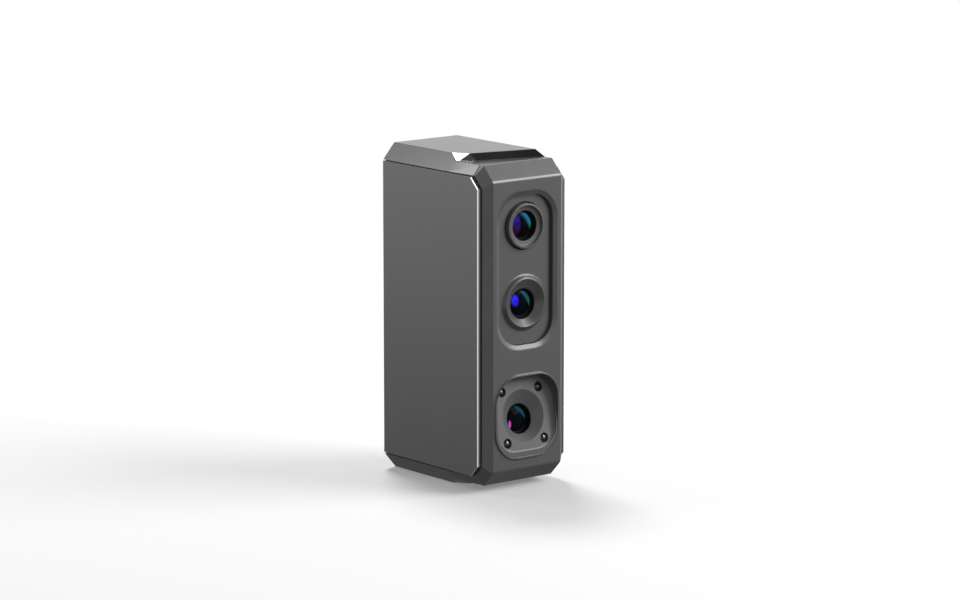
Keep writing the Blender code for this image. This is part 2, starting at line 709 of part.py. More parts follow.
# ---------------------------------------------------------------- electronics
def electronics():
    """Main board with its processor and heat spreader, and the key board with its three switches."""
    board = slab(
        "main_board", rounded_rectangle(12.6, 43.5, 2, 3), 0, 1.2, at(0, 13.2, MID_Z, FACING_FRONT)
    )
    dress(board, "circuit_board")
    dress(block("processor_chip", (12, 1.2, 12), (0, 11.1, 60)), "silicon")
    spreader = slab(
        "heat_spreader", rounded_rectangle(11, 16, 1.5, 3), 0, 6.6, at(0, 10.2, 60, FACING_FRONT)
    )
    for number in range(5):
        cut(spreader, block(
            f"spreader_groove_{number}", (2.0, 4.6, 40), (-8.0 + 4.0 * number, 4.6, 60)
        ))
    dress(spreader, "aluminium")
    keys = slab(
        "key_board", rounded_rectangle(8.6, 19.5, 1.5, 3), 0, SWITCH_BOARD_THICK,
        at(0, SWITCH_BOARD_Y, KEY_Z, FACING_REAR),
    )
    dress(keys, "circuit_board")
    low_y = SWITCH_BOARD_Y + SWITCH_BOARD_THICK + FIT_GAP
    high_y = PANEL_TOP_Y - KEY_LENGTH - KEY_TRAVEL - 0.1
    for name, z in key_places().items():
        switch = block(
            f"{name}_switch", (5.2, high_y - low_y, 5.2), (0, (low_y + high_y) / 2, z)
        )
        dress(switch, "black_plastic")


def ribbon(name, start, end, width, x):
    """A flat flexible cable in an S bend from one board to the next, in the YZ plane."""
    steps = 10
    line = []
    for step in range(steps + 1):
        share = step / steps
        ease = share * share * (3 - 2 * share)
        line.append(Vector((
            start[0] + (end[0] - start[0]) * share, start[1] + (end[1] - start[1]) * ease
        )))
    upper, lower = [], []
    for number, point in enumerate(line):
        before = line[max(number - 1, 0)]
        after = line[min(number + 1, steps)]
        along = (after - before).normalized()
        across = Vector((-along.y, along.x)) * 0.15
        upper.append(tuple(point + across))
        lower.append(tuple(point - across))
    obj = slab(name, upper + lower[::-1], -width / 2, width / 2, at(x, 0, 0, FACING_SIDE))
    return dress(obj, "polyimide")


# ---------------------------------------------------------------- rear: lid, control panel, keys, port
def key_places():
    """Each key's height."""
    return {"scan": KEY_Z, "plus": KEY_Z + KEY_PITCH, "minus": KEY_Z - KEY_PITCH}


def key_radius(name):
    """A key's radius."""
    return SCAN_RADIUS if name == "scan" else SIDE_KEY_RADIUS


PANEL_TOP_Y = REAR_Y + 0.1
PANEL_SEAT_Y = REAR_Y - 1.4


def rear_lid():
    """The rear cover, with the key panel's seat, the port's opening and four countersunk holes."""
    obj = slab(
        "rear_lid", octagon(LID_HALF, LID_HALF_Z, LID_CUT, LID_CUT), 0, LID_THICK,
        at(0, REAR_Y - LID_THICK - 0.1, MID_Z, FACING_REAR),
    )
    soften(obj, 0.3)
    seat = slab(
        "panel_seat", rounded_rectangle(9.3, 21.3, 4.3), 0, 5, at(0, PANEL_SEAT_Y, KEY_Z, FACING_REAR)
    )
    through = slab(
        "panel_through", rounded_rectangle(7.9, 19.8, 3.2), -5, 5, at(0, PANEL_SEAT_Y, KEY_Z, FACING_REAR)
    )
    port_place = at(0, REAR_Y, PORT_Z, FACING_REAR)
    port = slab("port_hole", rounded_rectangle(4.9, 2.05, 1.9), -5, 5, port_place)
    port_dish = tapered(
        "port_dish", rounded_rectangle(6.6, 3.75, 2.4), -0.5, 0.5, (0.85, 0.75), port_place
    )
    cut(obj, seat, through, port, port_dish)
    for number, (x, z) in enumerate(lid_screw_places()):
        cut(obj, turned(
            f"lid_hole_{number}", [(0, 1), (2.15, 1), (2.15, -0.75), (1.15, -1.75), (1.15, -5), (0, -5)],
            at(x, REAR_Y, z, FACING_REAR), 20, closed=False,
        ))
    return dress(obj, "bezel_grey")


def control_panel():
    """Glossy insert in the lid, with a hole for each key and for the status light."""
    obj = slab(
        "control_panel", rounded_rectangle(9.0, 21.0, 4.0), 0.3, PANEL_TOP_Y - PANEL_SEAT_Y,
        at(0, PANEL_SEAT_Y, KEY_Z, FACING_REAR),
    )
    for name, z in key_places().items():
        hole = (SCAN_RADIUS + 2.05) if name == "scan" else (SIDE_KEY_RADIUS + 0.25)
        cut(obj, turned(
            f"{name}_hole", [(0, 3), (hole, 3), (hole, -5), (0, -5)], at(0, PANEL_TOP_Y, z, FACING_REAR),
            closed=False,
        ))
    return dress(obj, "black_gloss")


def status_ring():
    """Light pipe round the scan key."""
    inner, outer = SCAN_RADIUS + 0.25, SCAN_RADIUS + 1.8
    profile = [(outer, 0.0), (outer, -1.1), (inner, -1.1), (inner, 0.0)]
    return dress(
        turned("status_light_ring", profile, at(0, PANEL_TOP_Y, KEY_Z, FACING_REAR)), "light_pipe"
    )


def keys():
    """Three keys that travel inwards: a dished cap, a flange behind the panel and a plunger."""
    for name, z in key_places().items():
        radius = key_radius(name)
        profile = [
            (0, 0.15), (radius * 0.75, 0.4), (radius - 0.3, 0.4), (radius, 0.1), (radius, -FLANGE_DROP),
            (radius + 0.6, -FLANGE_DROP), (radius + 0.6, -FLANGE_DROP - 0.8),
            (1.4, -FLANGE_DROP - 0.8), (1.4, -KEY_LENGTH), (0, -KEY_LENGTH),
        ]
        obj = turned(f"{name}_key", profile, at(0, PANEL_TOP_Y, z, FACING_REAR), closed=False)
        dress(obj, "black_plastic")


def lid_screws():
    """Countersunk screws with hexagon sockets."""
    for number, (x, z) in enumerate(lid_screw_places(), 1):
        profile = [(0, -0.4), (1.85, -0.4), (1.85, -0.75), (0.85, -1.75), (0.85, -7.5), (0, -7.5)]
        obj = turned(f"lid_screw_{number}", profile, at(x, REAR_Y, z, FACING_REAR), 16, closed=False)
        hexagon = bpy.data.meshes.new(f"screw_drive_{number}")
        shape = bmesh.new()
        bmesh.ops.create_cone(
            shape, cap_ends=True, segments=6, radius1=0.75 * MM, radius2=0.75 * MM, depth=1.6 * MM
        )
        shape.to_mesh(hexagon)
        shape.free()
        drive = bpy.data.objects.new(f"screw_drive_{number}", hexagon)
        drive.matrix_world = at(x, REAR_Y - 0.3, z, FACING_REAR)
        PARTS.objects.link(drive)
        cut(obj, drive)
        dress(obj, "steel")


def usb_port():
    """Type-C receptacle: a rounded steel shell and the contact tongue inside it."""
    shell_place = at(0, REAR_Y - 8.0, PORT_Z, FACING_REAR)
    shell = slab("usb_shell", rounded_rectangle(4.45, 1.6, 1.5), 0, 7.2, shell_place)
    cut(shell, slab("usb_mouth", rounded_rectangle(4.15, 1.3, 1.2), 1.0, 9.0, shell_place))
    dress(shell, "steel")
    tongue = block("usb_tongue", (6.7, 5.0, 0.7), (0, REAR_Y - 4.0, PORT_Z))
    dress(soften(tongue, 0.15), "black_plastic")
    carrier = block("usb_board", (15, 8.0, 1.0), (0, REAR_Y - 6.6 - 0.4, PORT_Z - 2.5))
    dress(carrier, "circuit_board")


def tripod_insert():
    """Quarter-inch camera socket in the floor of the shell, with a flange inside."""
    outer = TRIPOD_BORE + 1.4
    profile = [
        (outer + 1.6, 5.8), (outer + 1.6, 4.1), (outer, 4.1), (outer, 0.3), (TRIPOD_BORE + 0.4, 0.3),
        (TRIPOD_BORE, 0.7), (TRIPOD_BORE, 5.8),
    ]
    return dress(turned("tripod_insert", profile, at(0, TRIPOD_Y, 0)), "brass")


def seam_gasket():
    """Thin rubber frame that seals the joint between bezel and shell, from inside."""
    obj = slab(
        "seam_gasket", octagon(CAVITY_HALF - 0.4, CAVITY_HALF_Z - 0.4, 3.4, 3.4), 0, 1.2,
        at(0, SEAM_Y + 1.9, MID_Z, FACING_FRONT),
    )
    cut(obj, slab(
        "gasket_hole", octagon(CAVITY_HALF - 1.4, CAVITY_HALF_Z - 1.4, 3.2, 3.2), -3, 3,
        at(0, SEAM_Y + 1.9, MID_Z, FACING_FRONT),
    ))
    return dress(obj, "rubber")


def main():
    """Builds every piece."""
    body_shell()
    side_plate("left_side_plate", -1)
    side_plate("right_side_plate", 1)
    front_bezel()
    camera_fascia()
    upper_lens_ring()
    projector_fascia()
    fill_lamps()
    camera("upper", UPPER_Z)
    camera("lower", LOWER_Z)
    projector()
    optical_frame()
    electronics()
    ribbon("upper_camera_ribbon", (FASCIA_Y + 14.3, UPPER_Z - 3), (11.4, UPPER_Z + 6), 6, 0)
    ribbon("lower_camera_ribbon", (FASCIA_Y + 14.3, LOWER_Z - 13), (11.4, 40), 6, 0)
    rear_lid()
    control_panel()
    status_ring()
    keys()
    lid_screws()
    usb_port()
    tripod_insert()
    seam_gasket()


main()
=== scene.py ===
"""Looks of a palm-size structured-light 3-D scanner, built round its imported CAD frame.

Every sub-assembly of the scanner is a class. Its sizes are dataclass fields in millimetres, its places
come from the frame, and it models, dresses and mounts its own pieces. +Z is up, the lenses look along -Y.
"""

import logging
import math
from collections.abc import Callable, Iterable, Sequence
from dataclasses import dataclass, field, replace
from enum import Enum

import bmesh
import bpy
from bmesh.types import BMEdge, BMFace, BMVert
from mathutils import Matrix, Vector


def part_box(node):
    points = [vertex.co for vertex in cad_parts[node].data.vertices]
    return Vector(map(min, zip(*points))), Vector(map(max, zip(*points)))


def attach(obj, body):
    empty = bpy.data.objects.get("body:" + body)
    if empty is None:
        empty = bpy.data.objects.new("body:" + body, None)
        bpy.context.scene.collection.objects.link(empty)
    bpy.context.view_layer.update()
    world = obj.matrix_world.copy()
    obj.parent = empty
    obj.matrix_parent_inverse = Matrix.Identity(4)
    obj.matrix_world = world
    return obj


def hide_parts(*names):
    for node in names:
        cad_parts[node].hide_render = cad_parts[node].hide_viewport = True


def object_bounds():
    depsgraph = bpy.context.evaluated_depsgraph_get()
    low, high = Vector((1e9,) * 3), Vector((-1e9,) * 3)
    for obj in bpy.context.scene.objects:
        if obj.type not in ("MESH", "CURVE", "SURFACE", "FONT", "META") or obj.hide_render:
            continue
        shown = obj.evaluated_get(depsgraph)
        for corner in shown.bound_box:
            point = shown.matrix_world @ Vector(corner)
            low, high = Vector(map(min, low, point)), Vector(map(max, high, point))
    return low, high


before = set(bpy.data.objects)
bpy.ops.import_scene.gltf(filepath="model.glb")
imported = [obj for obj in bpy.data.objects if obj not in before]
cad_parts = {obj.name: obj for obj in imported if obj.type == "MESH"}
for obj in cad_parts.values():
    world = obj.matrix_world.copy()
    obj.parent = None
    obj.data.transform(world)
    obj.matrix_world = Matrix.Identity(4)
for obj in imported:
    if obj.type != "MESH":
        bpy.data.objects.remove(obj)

LOG = logging.getLogger("scanner")
MM = 0.001
HOUSING = "housing"
CAD_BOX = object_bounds()

FACING_FRONT = Matrix.Rotation(math.radians(90), 4, "X")
FACING_REAR = Matrix.Rotation(math.radians(180), 4, "Z") @ FACING_FRONT
FACING_UP = Matrix.Identity(4)

Colour = tuple[float, float, float]


class Joining(Enum):
    """How one solid is combined with another."""

    CUT = "DIFFERENCE"
    ADD = "UNION"
    KEEP_SHARED = "INTERSECT"


# ---------------------------------------------------------------- shader node groups
class ShaderGroup:
    """A node group made once, with named inputs and outputs, that any finish can place."""

    def __init__(self, name: str) -> None:
        """Starts an empty group.

        Args:
            name: the group's name.
        """
        self.tree = bpy.data.node_groups.new(name, "ShaderNodeTree")
        self.inside = self.tree.nodes.new("NodeGroupInput")
        self.outside = self.tree.nodes.new("NodeGroupOutput")

    def takes(self, name: str, kind: str, default: float | Sequence[float] | None = None) -> None:
        """Adds an input socket.

        Args:
            name: the socket's name.
            kind: Float, Color or Vector.
            default: its value when nothing is linked.
        """
        socket = self.tree.interface.new_socket(name, in_out="INPUT", socket_type=f"NodeSocket{kind}")
        if default is not None:
            socket.default_value = default

    def gives(self, name: str, kind: str) -> None:
        """Adds an output socket.

        Args:
            name: the socket's name.
            kind: Float, Color or Vector.
        """
        self.tree.interface.new_socket(name, in_out="OUTPUT", socket_type=f"NodeSocket{kind}")

    def node(self, kind: str, **settings: object) -> bpy.types.Node:
        """Adds a node and sets its properties.

        Args:
            kind: the node's type after ShaderNode.
            **settings: property values.

        Returns:
            The new node.
        """
        made = self.tree.nodes.new(f"ShaderNode{kind}")
        for name, value in settings.items():
            setattr(made, name, value)
        return made

    def link(self, start: bpy.types.NodeSocket, end: bpy.types.NodeSocket) -> None:
        """Links one socket to another."""
        self.tree.links.new(start, end)


def mixer(tree: bpy.types.NodeTree, share: object, first: object, second: object) -> bpy.types.NodeSocket:
    """Mixes two colours or two numbers.

    Args:
        tree: where the node goes.
        share: a socket or a number, 0 for all of first and 1 for all of second.
        first: a socket, a colour or a number.
        second: as first.

    Returns:
        The mixed result's socket.
    """
    numbers = all(isinstance(value, (int, float)) for value in (first, second))
    node = tree.nodes.new("ShaderNodeMix")
    node.data_type = "FLOAT" if numbers else "RGBA"
    offset = 2 if numbers else 6
    for index, value in ((0, share), (offset, first), (offset + 1, second)):
        if isinstance(value, bpy.types.NodeSocket):
            tree.links.new(value, node.inputs[index])
        elif isinstance(value, (int, float)):
            node.inputs[index].default_value = value
        else:
            node.inputs[index].default_value = (*value, 1.0)
    return node.outputs[0 if numbers else 2]


def calculate(
    tree: bpy.types.NodeTree, operation: str, first: object, second: object = 0.0
) -> bpy.types.NodeSocket:
    """Does one sum on numbers or sockets.

    Args:
        tree: where the node goes.
        operation: the Math node's operation.
        first: a socket or a number.
        second: a socket or a number.

    Returns:
        The result's socket.
    """
    node = tree.nodes.new("ShaderNodeMath")
    node.operation = operation
    for index, value in enumerate((first, second)):
        if isinstance(value, bpy.types.NodeSocket):
            tree.links.new(value, node.inputs[index])
        else:
            node.inputs[index].default_value = value
    return node.outputs[0]


def build_grain_group() -> ShaderGroup:
    """Fine surface grain: a height for bumps, and a slow unevenness for colour and roughness.

    Returns:
        The group, with inputs Vector, Scale and Patch Scale and outputs Height and Patches.
    """
    group = ShaderGroup("surface_grain")
    group.takes("Vector", "Vector")
    group.takes("Scale", "Float", 9000.0)
    group.takes("Patch Scale", "Float", 60.0)
    group.gives("Height", "Float")
    group.gives("Patches", "Float")
    fine = group.node("TexNoise", noise_dimensions="3D")
    fine.inputs["Detail"].default_value = 2.0
    fine.inputs["Roughness"].default_value = 0.55
    group.link(group.inside.outputs["Vector"], fine.inputs["Vector"])
    group.link(group.inside.outputs["Scale"], fine.inputs["Scale"])
    cells = group.node("TexVoronoi", feature="F1")
    group.link(group.inside.outputs["Vector"], cells.inputs["Vector"])
    group.link(calculate(group.tree, "MULTIPLY", group.inside.outputs["Scale"], 0.6), cells.inputs["Scale"])
    height = calculate(group.tree, "ADD", fine.outputs["Fac"], cells.outputs["Distance"])
    group.link(height, group.outside.inputs["Height"])
    slow = group.node("TexNoise", noise_dimensions="3D")
    slow.inputs["Detail"].default_value = 5.0
    group.link(group.inside.outputs["Vector"], slow.inputs["Vector"])
    group.link(group.inside.outputs["Patch Scale"], slow.inputs["Scale"])
    group.link(slow.outputs["Fac"], group.outside.inputs["Patches"])
    return group


def build_handling_group() -> ShaderGroup:
    """Marks of use: faint smudges from fingers and a little dust that settles on what faces up.

    Returns:
        The group, with input Vector and outputs Smudge and Dust.
    """
    group = ShaderGroup("handling_marks")
    group.takes("Vector", "Vector")
    group.gives("Smudge", "Float")
    group.gives("Dust", "Float")
    smears = group.node("TexNoise", noise_dimensions="3D")
    smears.inputs["Scale"].default_value = 45.0
    smears.inputs["Detail"].default_value = 6.0
    smears.inputs["Distortion"].default_value = 1.2
    group.link(group.inside.outputs["Vector"], smears.inputs["Vector"])
    ramp = group.node("ValToRGB")
    ramp.color_ramp.elements[0].position = 0.46
    ramp.color_ramp.elements[1].position = 0.72
    group.link(smears.outputs["Fac"], ramp.inputs["Fac"])
    group.link(ramp.outputs["Color"], group.outside.inputs["Smudge"])
    specks = group.node("TexNoise", noise_dimensions="3D")
    specks.inputs["Scale"].default_value = 2600.0
    specks.inputs["Detail"].default_value = 1.0
    group.link(group.inside.outputs["Vector"], specks.inputs["Vector"])
    speck_ramp = group.node("ValToRGB")
    speck_ramp.color_ramp.elements[0].position = 0.66
    speck_ramp.color_ramp.elements[1].position = 0.78
    group.link(specks.outputs["Fac"], speck_ramp.inputs["Fac"])
    facing = group.node("NewGeometry")
    split = group.node("SeparateXYZ")
    group.link(facing.outputs["Normal"], split.inputs["Vector"])
    upward = calculate(group.tree, "MAXIMUM", split.outputs["Z"], 0.0)
    settled = calculate(group.tree, "MULTIPLY", speck_ramp.outputs["Color"], upward)
    group.link(settled, group.outside.inputs["Dust"])
    return group


def build_wear_group() -> ShaderGroup:
    """Edge wear: a mask that is 1 on edges that stand out, broken up by noise.

    Returns:
        The group, with inputs Vector and Strength and output Mask.
    """
    group = ShaderGroup("edge_wear")
    group.takes("Vector", "Vector")
    group.takes("Strength", "Float", 1.0)
    group.gives("Mask", "Float")
    geometry = group.node("NewGeometry")
    ramp = group.node("ValToRGB")
    ramp.color_ramp.elements[0].position = 0.52
    ramp.color_ramp.elements[1].position = 0.62
    group.link(geometry.outputs["Pointiness"], ramp.inputs["Fac"])
    breaks = group.node("TexNoise", noise_dimensions="3D")
    breaks.inputs["Scale"].default_value = 700.0
    breaks.inputs["Detail"].default_value = 4.0
    group.link(group.inside.outputs["Vector"], breaks.inputs["Vector"])
    broken = calculate(group.tree, "MULTIPLY", ramp.outputs["Color"], breaks.outputs["Fac"])
    mask = calculate(group.tree, "MULTIPLY", broken, group.inside.outputs["Strength"])
    group.link(mask, group.outside.inputs["Mask"])
    return group


class Groups:
    """The shader groups that the finishes share."""

    grain: ShaderGroup
    handling: ShaderGroup
    wear: ShaderGroup

    @classmethod
    def build(cls) -> None:
        """Makes each group once."""
        cls.grain = build_grain_group()
        cls.handling = build_handling_group()
        cls.wear = build_wear_group()


# ---------------------------------------------------------------- finishes
@dataclass(frozen=True)
class Finish:
    """A surface finish: its colour, its gloss, and how rough and worn it is close up.

    Attributes:
        name: the material's name.
        slot: not used; a material slot's name.
        colour: the base colour, linear.
        roughness: the mean roughness.
        metallic: 0 for paint and plastic, 1 for bare or anodised metal.
        grain_scale: grains per metre, 0 for a smooth surface.
        grain_height: the bumps' height in millimetres.
        unevenness: how much colour and roughness drift over the surface.
        smudges: how much finger marks change the roughness.
        dust: how much dust lies on upward faces.
        wear: how far edges are rubbed down to worn_colour.
        worn_colour: what shows at rubbed edges.
        coat: weight of a clear coat.
        specular: specular level.
    """

    name: str
    slot: str
    colour: Colour
    roughness: float
    metallic: float = 0.0
    grain_scale: float = 0.0
    grain_height: float = 0.0
    unevenness: float = 0.08
    smudges: float = 0.0
    dust: float = 0.0
    wear: float = 0.0
    worn_colour: Colour = (0.45, 0.45, 0.46)
    coat: float = 0.0
    specular: float = 0.5

    def material(self) -> bpy.types.Material:
        """The finish's material, made at its first use."""
        found = bpy.data.materials.get(self.name)
        if found:
            return found
        made = bpy.data.materials.new(self.name)
        made.use_nodes = True
        self.paint(made.node_tree)
        return made

    def paint(self, tree: bpy.types.NodeTree) -> None:
        """Fills a material's node tree.

        Args:
            tree: the tree, which holds a fresh Principled BSDF.
        """
        shader = tree.nodes["Principled BSDF"]
        shader.inputs["Metallic"].default_value = self.metallic
        shader.inputs["Specular IOR Level"].default_value = self.specular
        shader.inputs["Coat Weight"].default_value = self.coat
        shader.inputs["Coat Roughness"].default_value = 0.04
        place = tree.nodes.new("ShaderNodeTexCoord").outputs["Object"]
        grain = self.place_group(tree, Groups.grain, place)
        grain.inputs["Scale"].default_value = self.grain_scale or 4000.0
        marks = self.place_group(tree, Groups.handling, place)
        patches = calculate(tree, "SUBTRACT", grain.outputs["Patches"], 0.5)
        drift = calculate(tree, "MULTIPLY", patches, self.unevenness)
        lighter = tuple(min(1.0, value * 1.35 + 0.002) for value in self.colour)
        darker = tuple(value * 0.72 for value in self.colour)
        colour = mixer(tree, calculate(tree, "ADD", drift, 0.5), darker, lighter)
        if self.wear:
            rubbed = self.place_group(tree, Groups.wear, place)
            rubbed.inputs["Strength"].default_value = self.wear
            colour = mixer(tree, rubbed.outputs["Mask"], colour, self.worn_colour)
        if self.dust:
            share = calculate(tree, "MULTIPLY", marks.outputs["Dust"], self.dust)
            colour = mixer(tree, share, colour, (0.42, 0.41, 0.39))
        tree.links.new(colour, shader.inputs["Base Color"])
        uneven = calculate(tree, "ADD", calculate(tree, "MULTIPLY", drift, 1.6), self.roughness)
        smudged = calculate(tree, "MULTIPLY", marks.outputs["Smudge"], self.smudges)
        tree.links.new(calculate(tree, "ADD", uneven, smudged), shader.inputs["Roughness"])
        if self.grain_scale:
            bump = tree.nodes.new("ShaderNodeBump")
            bump.inputs["Strength"].default_value = 0.6
            bump.inputs["Distance"].default_value = self.grain_height * MM
            tree.links.new(grain.outputs["Height"], bump.inputs["Height"])
            tree.links.new(bump.outputs["Normal"], shader.inputs["Normal"])

    @staticmethod
    def place_group(
        tree: bpy.types.NodeTree, group: ShaderGroup, place: bpy.types.NodeSocket
    ) -> bpy.types.Node:
        """Places a shared group in a tree, fed with Object coordinates.

        Args:
            tree: the material's tree.
            group: the shared group.
            place: the coordinates' socket.

        Returns:
            The group's node.
        """
        node = tree.nodes.new("ShaderNodeGroup")
        node.node_tree = group.tree
        tree.links.new(place, node.inputs["Vector"])
        return node


@dataclass(frozen=True)
class CoatedGlass(Finish):
    """Lens glass with painted reflections: a coloured crescent on one side and a glow on the other, given off
    as emission.

    Places are millimetres from the glass's middle, across and up.

    Attributes:
        centre: the glass's middle, in the frame's millimetres.
        crescent_side: the direction in which the crescent lies.
        crescent_start: how far from the middle, in that direction, it begins.
        crescent_reach: how far on it is at its strongest.
        crescent_high: its colour in the upper half.
        crescent_low: its colour in the lower half.
        glow_place: the glow's middle.
        glow_size: the glow's half width and half height.
        glow_high: its colour in the upper half.
        glow_low: its colour in the lower half.
    """

    centre: tuple[float, float, float] = (0.0, 0.0, 0.0)
    crescent_side: tuple[float, float] = (0.805, 0.593)
    crescent_start: float = 1.5
    crescent_reach: float = 1.8
    crescent_high: Colour = (0.014, 0.17, 0.29)
    crescent_low: Colour = (0.01, 0.25, 0.19)
    glow_place: tuple[float, float] = (-2.5, 0.5)
    glow_size: tuple[float, float] = (2.1, 4.2)
    glow_high: Colour = (0.025, 0.012, 0.24)
    glow_low: Colour = (0.032, 0.005, 0.038)

    def paint(self, tree: bpy.types.NodeTree) -> None:
        """Fills a material's node tree and adds the painted reflections as emission.

        Args:
            tree: the tree, which holds a fresh Principled BSDF.
        """
        super().paint(tree)
        # The crescent and glow below are painted reflections: emission fixed on the glass, not light that the
        # glass mirrors.
        shader = tree.nodes["Principled BSDF"]
        mapping = tree.nodes.new("ShaderNodeMapping")
        mapping.inputs["Location"].default_value = [-value for value in self.centre]
        mapping.inputs["Scale"].default_value = (1.0 / MM,) * 3
        tree.links.new(tree.nodes.new("ShaderNodeTexCoord").outputs["Object"], mapping.inputs["Vector"])
        split = tree.nodes.new("ShaderNodeSeparateXYZ")
        tree.links.new(mapping.outputs["Vector"], split.inputs["Vector"])
        across, up = split.outputs["X"], split.outputs["Z"]
        higher = self.smooth_step(tree, up, -1.5, 2.0)
        along = calculate(
            tree, "ADD", calculate(tree, "MULTIPLY", across, self.crescent_side[0]),
            calculate(tree, "MULTIPLY", up, self.crescent_side[1]),
        )
        rising = self.smooth_step(tree, along, self.crescent_start, self.crescent_start + self.crescent_reach)
        ending = self.smooth_step(tree, along, 3.95, 3.6)
        crescent = mixer(tree, higher, self.crescent_low, self.crescent_high)
        crescent = mixer(tree, calculate(tree, "MULTIPLY", rising, ending), (0.0, 0.0, 0.0), crescent)
        offset_x = calculate(tree, "SUBTRACT", across, self.glow_place[0])
        offset_x = calculate(tree, "DIVIDE", offset_x, self.glow_size[0])
        offset_y = calculate(tree, "SUBTRACT", up, self.glow_place[1])
        offset_y = calculate(tree, "DIVIDE", offset_y, self.glow_size[1])
        spread = calculate(
            tree, "ADD", calculate(tree, "MULTIPLY", offset_x, offset_x),
            calculate(tree, "MULTIPLY", offset_y, offset_y),
        )
        ghost = tree.nodes.new("ShaderNodeTexNoise")
        ghost.inputs["Scale"].default_value = 0.55
        ghost.inputs["Detail"].default_value = 0.0
        tree.links.new(mapping.outputs["Vector"], ghost.inputs["Vector"])
        broken = calculate(tree, "MULTIPLY", self.smooth_step(tree, spread, 1.1, 0.1), ghost.outputs["Fac"])
        glow = mixer(tree, self.smooth_step(tree, up, -1.0, 1.0), self.glow_low, self.glow_high)
        glow = mixer(tree, calculate(tree, "MULTIPLY", broken, 2.0), (0.0, 0.0, 0.0), glow)
        total = tree.nodes.new("ShaderNodeMix")
        total.data_type = "RGBA"
        total.blend_type = "ADD"
        total.inputs[0].default_value = 1.0
        tree.links.new(crescent, total.inputs[6])
        tree.links.new(glow, total.inputs[7])
        # The painted reflections go in as emission, so they show even where no light falls.
        tree.links.new(total.outputs[2], shader.inputs["Emission Color"])
        shader.inputs["Emission Strength"].default_value = 1.0

    @staticmethod
    def smooth_step(
        tree: bpy.types.NodeTree, value: bpy.types.NodeSocket, start: float, end: float
    ) -> bpy.types.NodeSocket:
        """A smooth ramp from 0 at start to 1 at end.

        Args:
            tree: where the node goes.
            value: what it reads.
            start: where it is 0.
            end: where it is 1.

        Returns:
            The ramp's socket.
        """
        node = tree.nodes.new("ShaderNodeMapRange")
        node.interpolation_type = "SMOOTHSTEP"
        low, high = (start, end) if start < end else (end, start)
        node.inputs["From Min"].default_value, node.inputs["From Max"].default_value = low, high
        ends = (0.0, 1.0) if start < end else (1.0, 0.0)
        node.inputs["To Min"].default_value, node.inputs["To Max"].default_value = ends
        tree.links.new(value, node.inputs["Value"])
        return node.outputs["Result"]


ANODISED = Finish(
    "dark_anodised_aluminium", "anodised_grey", (0.115, 0.115, 0.118), 0.24, 1.0,
    unevenness=0.02, smudges=0.012, dust=0.03,
)
PLATE = replace(ANODISED, name="plate_aluminium", colour=(0.166, 0.166, 0.169), roughness=0.2)
CUT_EDGE = Finish("diamond_cut_edge", "anodised_grey", (0.68, 0.68, 0.69), 0.16, 1.0, unevenness=0.03)
BEZEL = Finish(
    "bezel_paint", "bezel_grey", (0.064, 0.064, 0.066), 0.3, 0.0, 12000.0, 0.0015,
    unevenness=0.05, smudges=0.05, dust=0.03, wear=0.25, worn_colour=(0.2, 0.2, 0.2), specular=0.8,
)
FASCIA = Finish(
    "fascia_moulding", "bezel_grey", (0.064, 0.064, 0.066), 0.34, 0.0, 14000.0, 0.0015,
    unevenness=0.05, specular=0.8,
)
# Lighter than the other mouldings: the extra lightness is painted light, standing in for the light that the
# upward-tilted projector panel catches.
PROJECTOR_MOULDING = Finish(
    "projector_moulding", "bezel_grey", (0.09, 0.09, 0.092), 0.42, 0.0, 14000.0, 0.0015,
    unevenness=0.05, specular=0.6,
)
LENS_RING = Finish("lens_ring_paint", "bezel_grey", (0.08, 0.08, 0.082), 0.42, 0.0, 15000.0, 0.002, wear=0.3)
BLACK_MATT = Finish("black_moulding", "black_plastic", (0.009, 0.009, 0.010), 0.5, 0.0, 9000.0, 0.006)
BLACK_GLOSS = Finish("black_gloss", "black_gloss", (0.006, 0.006, 0.007), 0.06, coat=1.0, smudges=0.1)
LAMP_LENS = Finish("lamp_lens", "black_gloss", (0.004, 0.004, 0.005), 0.03, coat=1.0, unevenness=0.0)
INNER_GLASS = Finish(
    "inner_lens_glass", "coated_glass", (0.01, 0.012, 0.03), 0.06, unevenness=0.0, coat=1.0
)
BAFFLE = Finish("lens_baffle_black", "black_plastic", (0.0025, 0.0025, 0.0028), 0.7, specular=0.15)


def coating(name: str, node: str, **looks: object) -> CoatedGlass:
    """Lens glass with painted reflections, centred on one CAD lens.

    Args:
        name: the material's name.
        node: the lens's CAD node.
        **looks: the painted reflections' own values.

    Returns:
        The finish.
    """
    low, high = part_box(node)
    centre = tuple((low + high) / 2 / MM)
    return CoatedGlass(
        name, "coated_glass", (0.002, 0.002, 0.005), 0.05, unevenness=0.0, specular=0.012, centre=centre,
        **looks,
    )


# Each lens's front glass gets its own painted reflections: crescent and glow colours given off as emission.
UPPER_COATING = coating("upper_lens_coating", "upper_front_lens")
LOWER_COATING = coating(
    "lower_lens_coating", "lower_front_lens", crescent_start=1.9, crescent_reach=0.9,
    crescent_high=(0.008, 0.09, 0.11), crescent_low=(0.004, 0.1, 0.075), glow_place=(-2.3, 1.0),
    glow_size=(1.45, 2.3), glow_high=(0.03, 0.03, 1.0), glow_low=(0.012, 0.008, 0.32),
)
PROJECTOR_COATING = coating(
    "projector_lens_coating", "projector_front_lens", crescent_side=(0.72, 0.69), crescent_start=2.0,
    crescent_reach=1.1, crescent_high=(0.006, 0.06, 0.1), crescent_low=(0.004, 0.09, 0.08),
    glow_place=(-2.7, -1.5), glow_size=(0.5, 1.5), glow_high=(0.3, 0.05, 0.35), glow_low=(0.75, 0.12, 0.7),
)
STEEL = Finish("bright_steel", "steel", (0.56, 0.56, 0.57), 0.24, 1.0, 6000.0, 0.002, wear=0.4)
BRASS = Finish("turned_brass", "brass", (0.72, 0.5, 0.2), 0.28, 1.0, 5000.0, 0.003)
